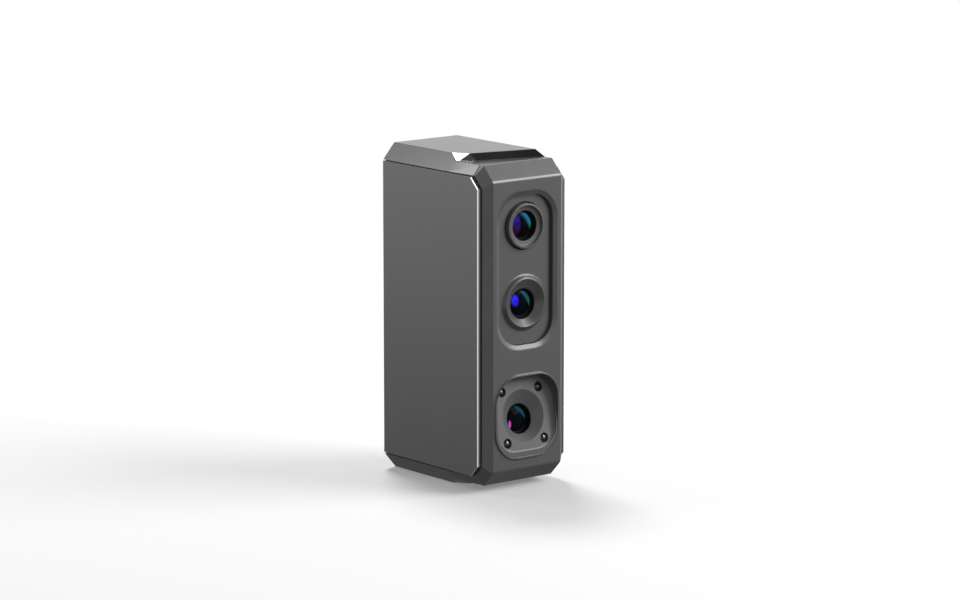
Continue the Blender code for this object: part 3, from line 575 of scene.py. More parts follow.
GOLD = Finish("gold_contacts", "steel", (0.9, 0.62, 0.24), 0.2, 1.0)
MACHINED = Finish("machined_aluminium", "aluminium", (0.62, 0.62, 0.64), 0.32, 1.0, 5000.0, 0.004)
BOARD = Finish("solder_mask", "circuit_board", (0.008, 0.07, 0.03), 0.32, 0.0, 3000.0, 0.01, coat=0.4)
PACKAGE = Finish("chip_package", "silicon", (0.02, 0.02, 0.022), 0.42, 0.0, 8000.0, 0.004)
LIGHT_PIPE = Finish("light_pipe", "light_pipe", (0.62, 0.72, 0.76), 0.35, 0.0, 5000.0, 0.004, coat=0.3)
RUBBER = Finish("gasket_rubber", "rubber", (0.014, 0.014, 0.014), 0.8, 0.0, 4000.0, 0.01)
FILM = Finish("amber_film", "polyimide", (0.3, 0.12, 0.02), 0.3, 0.0, 2000.0, 0.004, coat=0.5)
PRINT = Finish("white_print", "light_pipe", (0.62, 0.62, 0.62), 0.55, 0.0, 12000.0, 0.002)


# ---------------------------------------------------------------- modelling
class Form:
    """A solid in the making, in metres: drawn in its own frame, then put in place and finished."""

    def __init__(self) -> None:
        """Starts an empty form."""
        self.mesh = bmesh.new()
        self.cap: BMFace | None = None

    @classmethod
    def box(cls, low: Sequence[float], high: Sequence[float]) -> "Form":
        """A box between two corners.

        Args:
            low: its lowest corner, in millimetres.
            high: its highest corner, in millimetres.

        Returns:
            The new form.
        """
        form = cls()
        corner, far = Vector(low) * MM, Vector(high) * MM
        size = Matrix.Diagonal((*(far - corner), 1.0))
        bmesh.ops.create_cube(form.mesh, size=1.0, matrix=Matrix.Translation((corner + far) / 2) @ size)
        return form

    @classmethod
    def rounded(
        cls, half: tuple[float, float], radius: float, level: float = 0.0, segments: int = 12
    ) -> "Form":
        """A flat rectangle with round corners, ready to be raised by follow.

        Args:
            half: half its width and half its height, in millimetres.
            radius: the corners' radius, in millimetres.
            level: its height, in millimetres.
            segments: the facets of each corner.

        Returns:
            The new form, with its only face as the cap.
        """
        form = cls()
        bmesh.ops.create_grid(form.mesh, x_segments=1, y_segments=1, size=1.0)
        bmesh.ops.scale(form.mesh, vec=(half[0] * MM, half[1] * MM, 1.0), verts=form.mesh.verts)
        bmesh.ops.translate(form.mesh, vec=(0.0, 0.0, level * MM), verts=form.mesh.verts)
        bmesh.ops.bevel(
            form.mesh, geom=form.mesh.verts[:], offset=radius * MM, offset_type="OFFSET", segments=segments,
            profile=0.5, affect="VERTICES", clamp_overlap=False, material=-1,
        )
        form.mesh.faces.ensure_lookup_table()
        form.cap = form.mesh.faces[0]
        return form

    def follow(self, path: Iterable[tuple[float, float]]) -> "Form":
        """Raises the cap along a path, drawing it in on the way.

        Args:
            path: pairs of how far to draw in and how far to rise next, in millimetres.

        Returns:
            This form.
        """
        for inset, rise in path:
            before = self.cap
            walled = all(len(edge.link_faces) > 1 for edge in before.edges)
            made = bmesh.ops.extrude_face_region(self.mesh, geom=[before])
            self.cap = next(item for item in made["geom"] if isinstance(item, BMFace))
            if walled and before.is_valid:
                bmesh.ops.delete(self.mesh, geom=[before], context="FACES_ONLY")
            if abs(inset) > 1e-6:
                self.draw_in(inset)
            bmesh.ops.translate(self.mesh, vec=(0.0, 0.0, rise * MM), verts=self.cap.verts[:])
        return self

    def draw_in(self, inset: float) -> None:
        """Moves the cap's outline inwards by an even distance.

        Args:
            inset: the distance in millimetres; below 0 it moves outwards.
        """
        loops = list(self.cap.loops)
        moves = []
        for loop in loops:
            before = (loop.vert.co - loop.link_loop_prev.vert.co).normalized()
            after = (loop.link_loop_next.vert.co - loop.vert.co).normalized()
            across = Vector((-(before.y + after.y), before.x + after.x, 0.0))
            across.normalize()
            straight = Vector((-after.y, after.x, 0.0))
            moves.append(across * inset * MM / max(0.2, across.dot(straight)))
        flip = -1.0 if self.cap_turns_clockwise() else 1.0
        for loop, move in zip(loops, moves):
            loop.vert.co += move * flip

    def cap_turns_clockwise(self) -> bool:
        """Whether the cap's corners run clockwise seen from above."""
        corners = [vertex.co for vertex in self.cap.verts]
        area = sum(a.x * b.y - b.x * a.y for a, b in zip(corners, corners[1:] + corners[:1]))
        return area < 0.0

    @classmethod
    def turned(cls, profile: Sequence[tuple[float, ...]], steps: int = 96) -> "Form":
        """A turned solid: a closed profile whose corners are rounded, spun about its own Z.

        Args:
            profile: (radius, height) or (radius, height, rounding) corners, in millimetres.
            steps: the facets of the whole turn.

        Returns:
            The new form.
        """
        form = cls()
        corners = [form.mesh.verts.new((point[0] * MM, 0.0, point[1] * MM)) for point in profile]
        form.mesh.faces.new(corners)
        for corner, point in zip(corners, profile):
            if len(point) > 2 and point[2] > 0.0:
                bmesh.ops.bevel(
                    form.mesh, geom=[corner], offset=point[2] * MM, offset_type="OFFSET", segments=5,
                    profile=0.5, affect="VERTICES", clamp_overlap=False, material=-1,
                )
        bmesh.ops.delete(form.mesh, geom=form.mesh.faces[:], context="FACES_ONLY")
        on_axis = [edge for edge in form.mesh.edges if all(abs(vertex.co.x) < 1e-9 for vertex in edge.verts)]
        bmesh.ops.delete(form.mesh, geom=on_axis, context="EDGES")
        bmesh.ops.spin(
            form.mesh, geom=form.mesh.verts[:] + form.mesh.edges[:], cent=(0.0, 0.0, 0.0),
            axis=(0.0, 0.0, 1.0), dvec=(0.0, 0.0, 0.0), angle=math.tau, steps=steps, use_merge=True,
            use_normal_flip=False,
            use_duplicate=False,
        )
        return form.cleaned()

    def cleaned(self) -> "Form":
        """This form with doubled points merged, stray points gone and its faces pointing out."""
        bmesh.ops.remove_doubles(self.mesh, verts=self.mesh.verts[:], dist=1e-7)
        bmesh.ops.dissolve_degenerate(self.mesh, edges=self.mesh.edges[:], dist=1e-7)
        loose = [vertex for vertex in self.mesh.verts if not vertex.link_faces]
        bmesh.ops.delete(self.mesh, geom=loose, context="VERTS")
        bmesh.ops.recalc_face_normals(self.mesh, faces=self.mesh.faces[:])
        return self

    def slice(self, point: Sequence[float], outward: Sequence[float]) -> "Form":
        """Cuts away what lies outside a plane, and closes the cut.

        Args:
            point: a point on the plane, in millimetres.
            outward: the direction of what is cut away.

        Returns:
            This form.
        """
        cut = bmesh.ops.bisect_plane(
            self.mesh, geom=self.mesh.verts[:] + self.mesh.edges[:] + self.mesh.faces[:],
            plane_co=Vector(point) * MM, plane_no=Vector(outward).normalized(), clear_outer=True, dist=1e-8,
        )
        rim = [item for item in cut["geom_cut"] if isinstance(item, BMEdge)]
        if rim:
            bmesh.ops.contextual_create(self.mesh, geom=rim)
        return self

    def slice_through(self, corners: Sequence[Sequence[float]], inside: Sequence[float]) -> "Form":
        """Cuts away what lies beyond the plane through three corners.

        Args:
            corners: three points on the plane, in millimetres.
            inside: a point on the side that is kept, in millimetres.

        Returns:
            This form.
        """
        first, second, third = (Vector(corner) for corner in corners)
        normal = (second - first).cross(third - first).normalized()
        if normal.dot(Vector(inside) - first) > 0.0:
            normal.negate()
        return self.slice(first, normal)

    def round_edges(
        self, width: float, segments: int, chosen: Callable[[BMEdge], bool] | None = None
    ) -> "Form":
        """Rounds edges.

        Args:
            width: how far the rounding reaches from the edge, in millimetres.
            segments: its facets; 1 makes a flat chamfer.
            chosen: says which edges are rounded, or None for every edge with a real corner.

        Returns:
            This form.
        """
        self.mesh.normal_update()
        test = chosen or (lambda edge: True)
        edges = [
            edge for edge in self.mesh.edges
            if edge.is_manifold and edge.calc_face_angle(0.0) > math.radians(3.0) and test(edge)
        ]
        if edges:
            bmesh.ops.bevel(
                self.mesh, geom=edges, offset=width * MM, offset_type="OFFSET", segments=segments,
                profile=0.5, affect="EDGES", clamp_overlap=True, material=-1,
            )
        return self

    def placed(self, matrix: Matrix) -> "Form":
        """This form moved and turned by a matrix."""
        bmesh.ops.transform(self.mesh, matrix=matrix, verts=self.mesh.verts[:])
        return self

    def as_object(self, name: str) -> bpy.types.Object:
        """A plain object of this form, which uses the form up.

        Args:
            name: the object's name.

        Returns:
            The object, linked to the scene.
        """
        bmesh.ops.recalc_face_normals(self.mesh, faces=self.mesh.faces[:])
        data = bpy.data.meshes.new(name)
        self.mesh.to_mesh(data)
        self.mesh.free()
        made = bpy.data.objects.new(name, data)
        bpy.context.scene.collection.objects.link(made)
        return made

    def combine(self, how: Joining, *others: "Form") -> "Form":
        """Combines this form with others, which are used up.

        Args:
            how: the kind of joining.
            *others: the other forms.

        Returns:
            This form.
        """
        for other in others:
            target, tool = self.as_object("target"), other.as_object("tool")
            joint = target.modifiers.new("joining", "BOOLEAN")
            joint.operation = how.value
            joint.object = tool
            bpy.context.view_layer.update()
            graph = bpy.context.evaluated_depsgraph_get()
            result = bpy.data.meshes.new_from_object(target.evaluated_get(graph))
            self.mesh = bmesh.new()
            self.mesh.from_mesh(result)
            for used in (target, tool):
                bpy.data.objects.remove(used)
            bpy.data.meshes.remove(result)
        return self

    def piece(
        self, name: str, finish: Finish, replaces: Sequence[str] = (), body: str = HOUSING,
        smooth: float = 40.0, flat_faces: bool = False,
    ) -> bpy.types.Object:
        """Turns this form into a finished piece that rides on a body.

        Args:
            name: the piece's name.
            finish: its finish.
            replaces: the CAD nodes it stands for.
            body: the body it rides on.
            smooth: the angle in degrees above which an edge stays sharp.
            flat_faces: keeps large flat faces flat beside rounded edges.

        Returns:
            The piece.
        """
        self.cleaned()
        made = self.as_object(name)
        made.data.shade_smooth()
        made.data.set_sharp_from_angle(angle=math.radians(smooth))
        if flat_faces:
            weighted = made.modifiers.new("flat faces", "WEIGHTED_NORMAL")
            weighted.keep_sharp = True
            weighted.weight = 100
        made.data.materials.append(finish.material())
        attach(made, body)
        if replaces:
            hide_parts(*replaces)
        LOG.info("%s: %d faces, %s", name, len(made.data.polygons), finish.name)
        return made


def at(point: Sequence[float], turn: Matrix = FACING_UP) -> Matrix:
    """A turn, then a move to a point given in millimetres."""
    return Matrix.Translation(Vector(point) * MM) @ turn


def quarter(radius: float, steps: int = 6, hollow: bool = False) -> list[tuple[float, float]]:
    """Steps of a quarter round for follow, from a wall over to a top.

    Args:
        radius: the round's radius, in millimetres.
        steps: its facets.
        hollow: whether it curves from a wall into a floor instead.

    Returns:
        Pairs of inset and rise.
    """
    turns = [math.pi / 2 * step / steps for step in range(steps + 1)]
    if hollow:
        line = [(radius * math.sin(turn), radius * (1 - math.cos(turn))) for turn in turns]
    else:
        line = [(radius * (1 - math.cos(turn)), radius * math.sin(turn)) for turn in turns]
    return [(b[0] - a[0], b[1] - a[1]) for a, b in zip(line, line[1:])]


@dataclass(frozen=True)
class Box:
    """A CAD node's box in millimetres."""

    low: Vector
    high: Vector

    @classmethod
    def of(cls, node: str) -> "Box":
        """The box of a node at rest."""
        low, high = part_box(node)
        return cls(low / MM, high / MM)

    @property
    def centre(self) -> Vector:
        """The box's centre."""
        return (self.low + self.high) / 2


def hull(points: Iterable[Sequence[float]]) -> Form:
    """The solid stretched tightly round a few corners.

    Args:
        points: the corners, in millimetres.

    Returns:
        The new form.
    """
    form = Form()
    corners = [form.mesh.verts.new(Vector(point) * MM) for point in points]
    made = bmesh.ops.convex_hull(form.mesh, input=corners, use_existing_faces=False)
    inner = [item for item in made["geom_interior"] + made["geom_unused"] if isinstance(item, BMVert)]
    bmesh.ops.delete(form.mesh, geom=list(set(inner)), context="VERTS")
    bmesh.ops.dissolve_limit(
        form.mesh, angle_limit=math.radians(0.4), verts=form.mesh.verts[:], edges=form.mesh.edges[:],
        use_dissolve_boundaries=False, delimit=set(),
    )
    return form


def roll_edge(
    form: Form, point: Sequence[float], first: Sequence[float], second: Sequence[float], radius: float,
    steps: int = 7,
) -> Form:
    """Rounds the straight edge between two planes of a convex form by slicing it along tangent planes.

    Args:
        form: the form.
        point: a point on the edge, in millimetres.
        first: one plane's outward direction.
        second: the other plane's outward direction.
        radius: the round's radius, in millimetres.
        steps: how many slices it takes.

    Returns:
        The form.
    """
    one, other = Vector(first).normalized(), Vector(second).normalized()
    centre = Vector(point) - (one + other) * radius / (1.0 + one.dot(other))
    for step in range(1, steps + 1):
        share = step / (steps + 1)
        outward = one.slerp(other, share)
        form.slice(centre + outward * radius, outward)
    return form


# ---------------------------------------------------------------- housing
@dataclass
class Crown:
    """The upper half of the body's skin: main octagon, slanting slope with a gem cut, and narrower nose.

    Heights are above the body's middle; the lower half is its mirror image.
    """

    main_half: float = 17.5
    half_height: float = 52.5
    main_cut: tuple[float, float] = (4.8, 5.5)
    nose_half: float = 16.1
    nose_height: float = 50.4
    nose_cut: tuple[float, float] = (2.5, 3.0)
    rear: float = 25.5
    seam: float = -18.9
    gem_start: float = -3.9
    gem_end: tuple[float, float] = (-9.4, -8.55)
    slope_right: float = -13.9
    slope_run: float = 3.4
    taper: float = -7.2
    taper_step: float = 1.6

    def corners(self) -> dict[str, tuple[float, float, float]]:
        """The named corners of the upper half, in millimetres."""
        top_x, nose_x = self.main_half - self.main_cut[0], self.nose_half - self.nose_cut[0]
        main_low, nose_low = self.half_height - self.main_cut[1], self.nose_height - self.nose_cut[1]
        taper_x = -top_x - self.taper_step
        taper_z = self.half_height - self.taper_step * self.main_cut[1] / self.main_cut[0]
        slant = (self.slope_right - self.gem_end[1]) / (top_x - self.gem_end[0])
        right_foot = self.slope_right + slant * (nose_x - top_x) - self.slope_run
        return {
            "rear_top_left": (-top_x, self.rear, self.half_height),
            "rear_top_right": (top_x, self.rear, self.half_height),
            "rear_side_left": (-self.main_half, self.rear, main_low),
            "rear_side_right": (self.main_half, self.rear, main_low),
            "gem_rear": (-top_x, self.gem_start, self.half_height),
            "gem_front": (*self.gem_end, self.half_height),
            "gem_foot": (taper_x + 0.1, self.taper - 1.5, self.nose_height),
            "slope_left": (self.gem_end[0], self.gem_end[1] - self.slope_run, self.nose_height),
            "slope_top": (top_x, self.slope_right, self.half_height),
            "slope_foot_right": (nose_x, right_foot, self.nose_height),
            "taper_top": (taper_x, self.taper, taper_z),
            "taper_side": (-self.main_half, self.taper, main_low),
            "right_side": (self.main_half, self.slope_right, main_low),
            "seam_top_left": (-nose_x, self.seam, self.nose_height),
            "seam_top_right": (nose_x, self.seam, self.nose_height),
            "seam_side_left": (-self.nose_half, self.seam, nose_low),
            "seam_side_right": (self.nose_half, self.seam, nose_low),
        }

    def solid(self) -> Form:
        """The whole skin as one solid, its edges rounded.

        Returns:
            The solid, its lowest face at height 0.
        """
        corners = self.corners()
        at_seam = [name for name in corners if name.startswith("seam")]
        below_nose = ["gem_foot", "slope_left", "slope_foot_right", "taper_top", "taper_side", "right_side"]
        below_nose += ["rear_side_left", "rear_side_right"]
        crown_names = [name for name in corners if name not in at_seam]
        nose_names = at_seam + below_nose
        block, nose = (
            hull([
                (corners[name][0], corners[name][1], self.half_height + level * corners[name][2])
                for name in names for level in (-1, 1)
            ])
            for names in (crown_names, nose_names)
        )
        skin = block.combine(Joining.ADD, nose).cleaned()
        bmesh.ops.dissolve_limit(
            skin.mesh, angle_limit=math.radians(0.6), verts=skin.mesh.verts[:], edges=skin.mesh.edges[:],
            use_dissolve_boundaries=False, delimit=set(),
        )
        return skin.round_edges(0.3, 3, lambda edge: edge.calc_face_angle(0.0) > math.radians(8.0))


@dataclass
class BodyShell:
    """The aluminium body: skin, cavity, lid seat, side plates' pockets, screw bosses and foot socket."""

    crown: Crown = field(default_factory=Crown)
    cavity_half: float = 14.4
    cavity_height: float = 48.7
    cavity_cut: float = 3.0
    lid_seat: tuple[float, float] = (15.3, 49.7)
    lid_cut: float = 3.4
    lid_depth: float = 2.3
    plate_height: float = 47.1
    plate_room: float = 0.35
    pilot_radius: float = 1.15
    boss: tuple[float, float, float] = (6.6, 7.0, 6.0)

    @property
    def middle(self) -> float:
        """The body's middle height, in millimetres."""
        return self.crown.half_height

    def octagon_prism(self, half: tuple[float, float], cut: float, low: float, high: float) -> Form:
        """A block with its four long corners cut off, lying along Y.

        Args:
            half: half its width and half its height.
            cut: the corners' cut.
            low: where it starts along Y.
            high: where it ends.

        Returns:
            The new form.
        """
        form = Form.box((-half[0], low, self.middle - half[1]), (half[0], high, self.middle + half[1]))
        return form.round_edges(cut, 1, lambda edge: abs(edge.verts[0].co.y - edge.verts[1].co.y) > 1e-6)

    def build(self) -> None:
        """Models and dresses the shell."""
        rear = self.crown.rear
        shell = self.crown.solid()
        cavity = self.octagon_prism((self.cavity_half, self.cavity_height), self.cavity_cut, -40.0, 40.0)
        seat = self.octagon_prism(self.lid_seat, self.lid_cut, rear - self.lid_depth, rear + 8.0)
        shell.combine(Joining.CUT, cavity, seat)
        reach = self.plate_height + self.plate_room
        for side in (-1, 1):
            inner, outer = sorted((side * self.crown.nose_half, side * (self.crown.main_half + 1.0)))
            pocket = Form.box((inner, -40.0, self.middle - reach), (outer, 40.0, self.middle + reach))
            shell.combine(Joining.CUT, pocket)
        insert = Box.of("tripod_insert")
        hole = (insert.high.x - insert.low.x) / 2 - 1.6 + 0.3
        mouth = [(0, 8), (hole, 8), (hole, 0.5), (hole + 0.5, 0.0), (hole + 0.5, -2), (0, -2)]
        shell.combine(Joining.CUT, Form.turned(mouth).placed(at((insert.centre.x, insert.centre.y, 0))))
        for number in range(1, 5):
            screw = Box.of(f"lid_screw_{number}").centre
            boss_x = math.copysign(self.cavity_half - 2.6, screw.x)
            middle = Vector((boss_x, rear - self.lid_depth - 4.1, screw.z))
            reach_out = Vector(self.boss) / 2
            shell.combine(Joining.ADD, Form.box(middle - reach_out, middle + reach_out))
            pilot = [(0, 20), (self.pilot_radius, 20), (self.pilot_radius, -9), (0, -9)]
            place = at((screw.x, rear - 2.0, screw.z), FACING_REAR)
            shell.combine(Joining.CUT, Form.turned(pilot, 24).placed(place))
        shell.piece("scanner_body", ANODISED, ["body_shell"], flat_faces=True)


@dataclass
class SidePlate:
    """A flat cover let into the side, its front edges cut bright with a diamond tool."""

    side: int
    cut: float = 3.5
    bright_width: float = 0.25

    def build(self) -> None:
        """Models and dresses the plate and its bright edge."""
        name = "left_side_plate" if self.side < 0 else "right_side_plate"
        box = Box.of(name)
        form = Form.box(box.low, box.high)
        front = box.low.y * MM

        def upright_front(edge: BMEdge) -> bool:
            """Whether an edge is a front corner that runs across the plate's thickness."""
            one, other = (vertex.co for vertex in edge.verts)
            return abs(one.y - front) < 1e-6 and abs(one.y - other.y) < 1e-6 and abs(one.x - other.x) > 1e-6

        form.round_edges(self.cut, 1, upright_front)
        outer = (box.low.x if self.side < 0 else box.high.x) * MM
        cut_back = front + self.cut * MM + 1e-6

        def outer_rim(edge: BMEdge) -> bool:
            """Whether an edge bounds the plate's outer face."""
            return all(abs(vertex.co.x - outer) < 1e-7 for vertex in edge.verts)

        def bright(edge: BMEdge) -> bool:
            """Whether a rim edge is one that is cut bright."""
            return outer_rim(edge) and all(vertex.co.y < cut_back for vertex in edge.verts)

        form.mesh.normal_update()
        edges = [edge for edge in form.mesh.edges if outer_rim(edge) and edge.calc_face_angle(0.0) > 0.1]
        front_edges = [edge for edge in edges if bright(edge)]
        centres = [(edge.verts[0].co + edge.verts[1].co) / 2 for edge in front_edges]
        bmesh.ops.bevel(
            form.mesh, geom=edges, offset=self.bright_width * MM, offset_type="OFFSET", segments=1,
            profile=0.5, affect="EDGES", clamp_overlap=True, material=-1,
        )
        form.mesh.normal_update()
        for face in form.mesh.faces:
            slanted = 0.3 < abs(face.normal.x) < 0.95
            near = any((face.calc_center_median() - centre).length < 1.0 * MM for centre in centres)
            if slanted and near:
                face.material_index = 1
        piece = form.piece(name.replace("side_plate", "side_cover"), PLATE, [name], smooth=20.0)
        piece.data.materials.append(CUT_EDGE.material())


@dataclass
class FrontBezel:
    """The front frame: bands sloping above and below, cut corners, camera window and projector's rim."""

    half: float = 16.1
    nose_cut: tuple[float, float] = (2.5, 3.0)
    front: float = -25.5
    band_start: float = -20.9
    band_drop: float = 4.65
    strip: tuple[float, float] = (2.5, 2.3)
    edge_round: float = 1.6
    strip_round: float = 0.5
    window_half: tuple[float, float] = (12.2, 25.0)
    window_radius: float = 9.4
    window_slope: tuple[float, float] = (1.45, 0.55)
    pad_half: tuple[float, float] = (13.1, 13.6)
    pad_radius: float = 9.8
    pad_rise: float = 0.5
    pad_wall: float = 0.9
    well_radius: float = 7.6
    well_draft: float = 2.0
    well_end: float = -18.6
    well_rim: float = 0.16
    pad_height: float = 23.4

    def __post_init__(self) -> None:
        """Takes its place from the frame."""
        self.box = Box.of("front_bezel")
        self.middle = self.box.centre.z
        self.half_height = (self.box.high.z - self.box.low.z) / 2
        self.window = Box.of("camera_fascia").centre

    def block(self) -> Form:
        """The bezel's outer block, sliced to its facets."""
        low, high = self.box.low, self.box.high
        form = Form.box((-self.half, self.front, low.z), (self.half, high.y, high.z))
        ahead = (0.0, -1.0, 0.0)
        inside = (0.0, high.y, self.middle)
        for level in (-1, 1):
            top = self.middle + level * self.half_height
            rise = self.band_start - self.front
            band = Vector((0.0, -self.band_drop, level * rise))
            form.slice((0.0, self.band_start, top), band)
            for side in (-1, 1):
                corner = (side * self.half, 0.0, top - level * self.nose_cut[1])
                form.slice(corner, (side * self.nose_cut[1], 0.0, level * self.nose_cut[0]))
        for side in (-1, 1):
            beside = Vector((side * self.strip[1], -self.strip[0], 0.0))
            form.slice((side * self.half, self.front + self.strip[1], self.middle), beside)
            for level in (-1, 1):
                top = self.middle + level * self.half_height
                facet = (
                    (side * (self.half - self.nose_cut[0]), self.band_start, top),
                    (side * (self.half - self.strip[0]), self.front, top - level * self.band_drop),
                    (side * self.half, self.front + self.strip[1], top - level * (self.band_drop + 2.0)),
                )
                form.slice_through(facet, inside)
        for level in (-1, 1):
            top = self.middle + level * self.half_height
            rise = self.band_start - self.front
            band = Vector((0.0, -self.band_drop, level * rise))
            roll_edge(form, (0.0, self.front, top - level * self.band_drop), ahead, band, self.edge_round)
        for side in (-1, 1):
            beside = Vector((side * self.strip[1], -self.strip[0], 0.0))
            corner = (side * (self.half - self.strip[0]), self.front, self.middle)
            roll_edge(form, corner, ahead, beside, self.strip_round, 4)
        return form.round_edges(0.16, 2, lambda edge: edge.calc_face_angle(0.0) > math.radians(16.0))

    def pad(self) -> Form:
        """The proud rim round the projector's well, before it is hollowed."""
        half = (self.pad_half[0] + 0.1, self.pad_half[1] + 0.1)
        form = Form.rounded(half, self.pad_radius + 0.1, -self.front - 1.5, 18)
        form.follow([(0.0, 1.5 - 0.01)])
        form.follow(quarter(0.2, 4, hollow=True))
        form.follow([(0.0, self.pad_rise - 0.5 + 0.01)])
        form.follow(quarter(0.3, 6))
        return form.placed(at((0.0, 0.0, self.pad_height), FACING_FRONT))

    def well(self, inset: float = 0.0, rim: bool = True) -> Form:
        """The tapering space of the projector's well.

        Args:
            inset: how far it is drawn in all round.
            rim: whether its mouth flares into a rounded rim.

        Returns:
            The new form.
        """
        narrow = self.well_draft + inset + self.pad_wall
        half = (self.pad_half[0] - narrow, self.pad_half[1] - narrow)
        form = Form.rounded(half, self.well_radius - self.well_draft - inset, -self.well_end, 16)
        depth = -self.front + self.pad_rise + self.well_end
        form.follow([(-self.well_draft, depth - self.well_rim)])
        if rim:
            form.follow([(-inset, rise) for inset, rise in quarter(self.well_rim, 6)])
        form.follow([(0.0, 1.0)])
        return form.placed(at((0.0, 0.0, self.pad_height), FACING_FRONT))

    def window_cutter(self) -> Form:
        """The camera window with its sloping, rounded edge."""
        slope, drop = self.window_slope
        half = (self.window_half[0] - slope, self.window_half[1] - slope)
        form = Form.rounded(half, self.window_radius - slope, 12.0, 18)
        form.follow([(0.0, -self.front - 12.0 - drop)])
        form.follow([(-slope * 0.06, 0.05), (-slope * 0.12, 0.05), (-slope * 0.62, drop - 0.2)])
        form.follow([(-slope * 0.12, 0.055), (-slope * 0.12, 0.035), (-slope * 0.1, 0.01), (0.0, 1.0)])
        return form.placed(at((self.window.x, 0.0, self.window.z), FACING_FRONT))

    def build(self) -> None:
        """Models and dresses the bezel."""
        form = self.block()
        form.combine(Joining.ADD, self.pad())
        low = self.pad_height + self.pad_half[0] + 2.5
        hollow = Form.box((-14.0, -23.0 + 0.4, low), (14.0, -10.0, self.middle + 47.2))
        hollow.round_edges(3.2, 1, lambda edge: abs(edge.verts[0].co.y - edge.verts[1].co.y) > 1e-6)
        form.combine(Joining.CUT, self.window_cutter(), hollow, self.well())
        form.piece("front_bezel_frame", BEZEL, ["front_bezel"], smooth=32.0, flat_faces=True)


@dataclass
class CameraFascia:
    """The panel in the camera window, with a ring hole above and a moulded crater below."""

    crater_height: float = 59.1
    crest: float = 1.15
    crest_radius: float = 7.8
    foot_radius: float = 9.3
    hole_radius: float = 4.8
    ring_hole: float = 7.45

    def build(self) -> None:
        """Models and dresses the fascia."""
        box = Box.of("camera_fascia")
        thick = 1.3
        front = -(box.high.y - thick)
        half = ((box.high.x - box.low.x) / 2 + 0.16, (box.high.z - box.low.z) / 2 + 0.16)
        form = Form.rounded(half, 7.8, front - thick, 16)
        form.follow([(0.0, thick)])
        form.placed(at((0.0, 0.0, box.centre.z), FACING_FRONT))
        place = at((0.0, -front, self.crater_height), FACING_FRONT)
        lower = Box.of("lower_front_lens").centre.z - self.crater_height
        crater = Form.turned(
            [
                (5.6, self.crest, 0.0), (self.crest_radius, self.crest, 0.25), (8.7, 0.12, 0.3),
                (self.foot_radius, -0.02, 0.0), (self.foot_radius, -0.4), (5.6, -0.4),
            ],
            128,
        ).placed(place)
        flare = Form.turned(
            [
                (0, 2.5), (9.0, 2.5), (7.6, self.crest + 0.12, 0.2), (7.25, self.crest - 0.1, 0.15),
                (self.hole_radius, -0.75, 0.15), (self.hole_radius, -4), (0, -4),
            ],
            128,
        )
        for vertex in flare.mesh.verts:
            drop = max(0.0, min(1.0, (self.crest - vertex.co.z / MM) / (self.crest + 0.75)))
            vertex.co.y += lower * drop * MM
        flare.placed(place)
        upper = at((0.0, -front, Box.of("upper_lens_ring").centre.z), FACING_FRONT)
        hole = Form.turned(
            [
                (0, 3), (self.ring_hole + 0.2, 3), (self.ring_hole + 0.2, 0.01, 0.05),
                (self.ring_hole, -0.2, 0.1), (self.ring_hole, -4), (0, -4),
            ],
        ).placed(upper)
        form.combine(Joining.ADD, crater)
        form.combine(Joining.CUT, flare, hole)
        form.piece("camera_window_panel", FASCIA, ["camera_fascia"], smooth=38.0, flat_faces=True)
        ring = Form.turned(
            [
                (6.45, 1.4, 0.12), (7.15, 1.28, 0.25), (7.15, -1.6), (self.hole_radius, -1.6),
                (self.hole_radius, 0.3, 0.1), (5.95, 0.42, 0.12), (6.2, 0.55, 0.1),
            ],
            128,
        ).placed(upper)
        ring.piece("upper_lens_collar", LENS_RING, ["upper_lens_ring"], smooth=34.0)


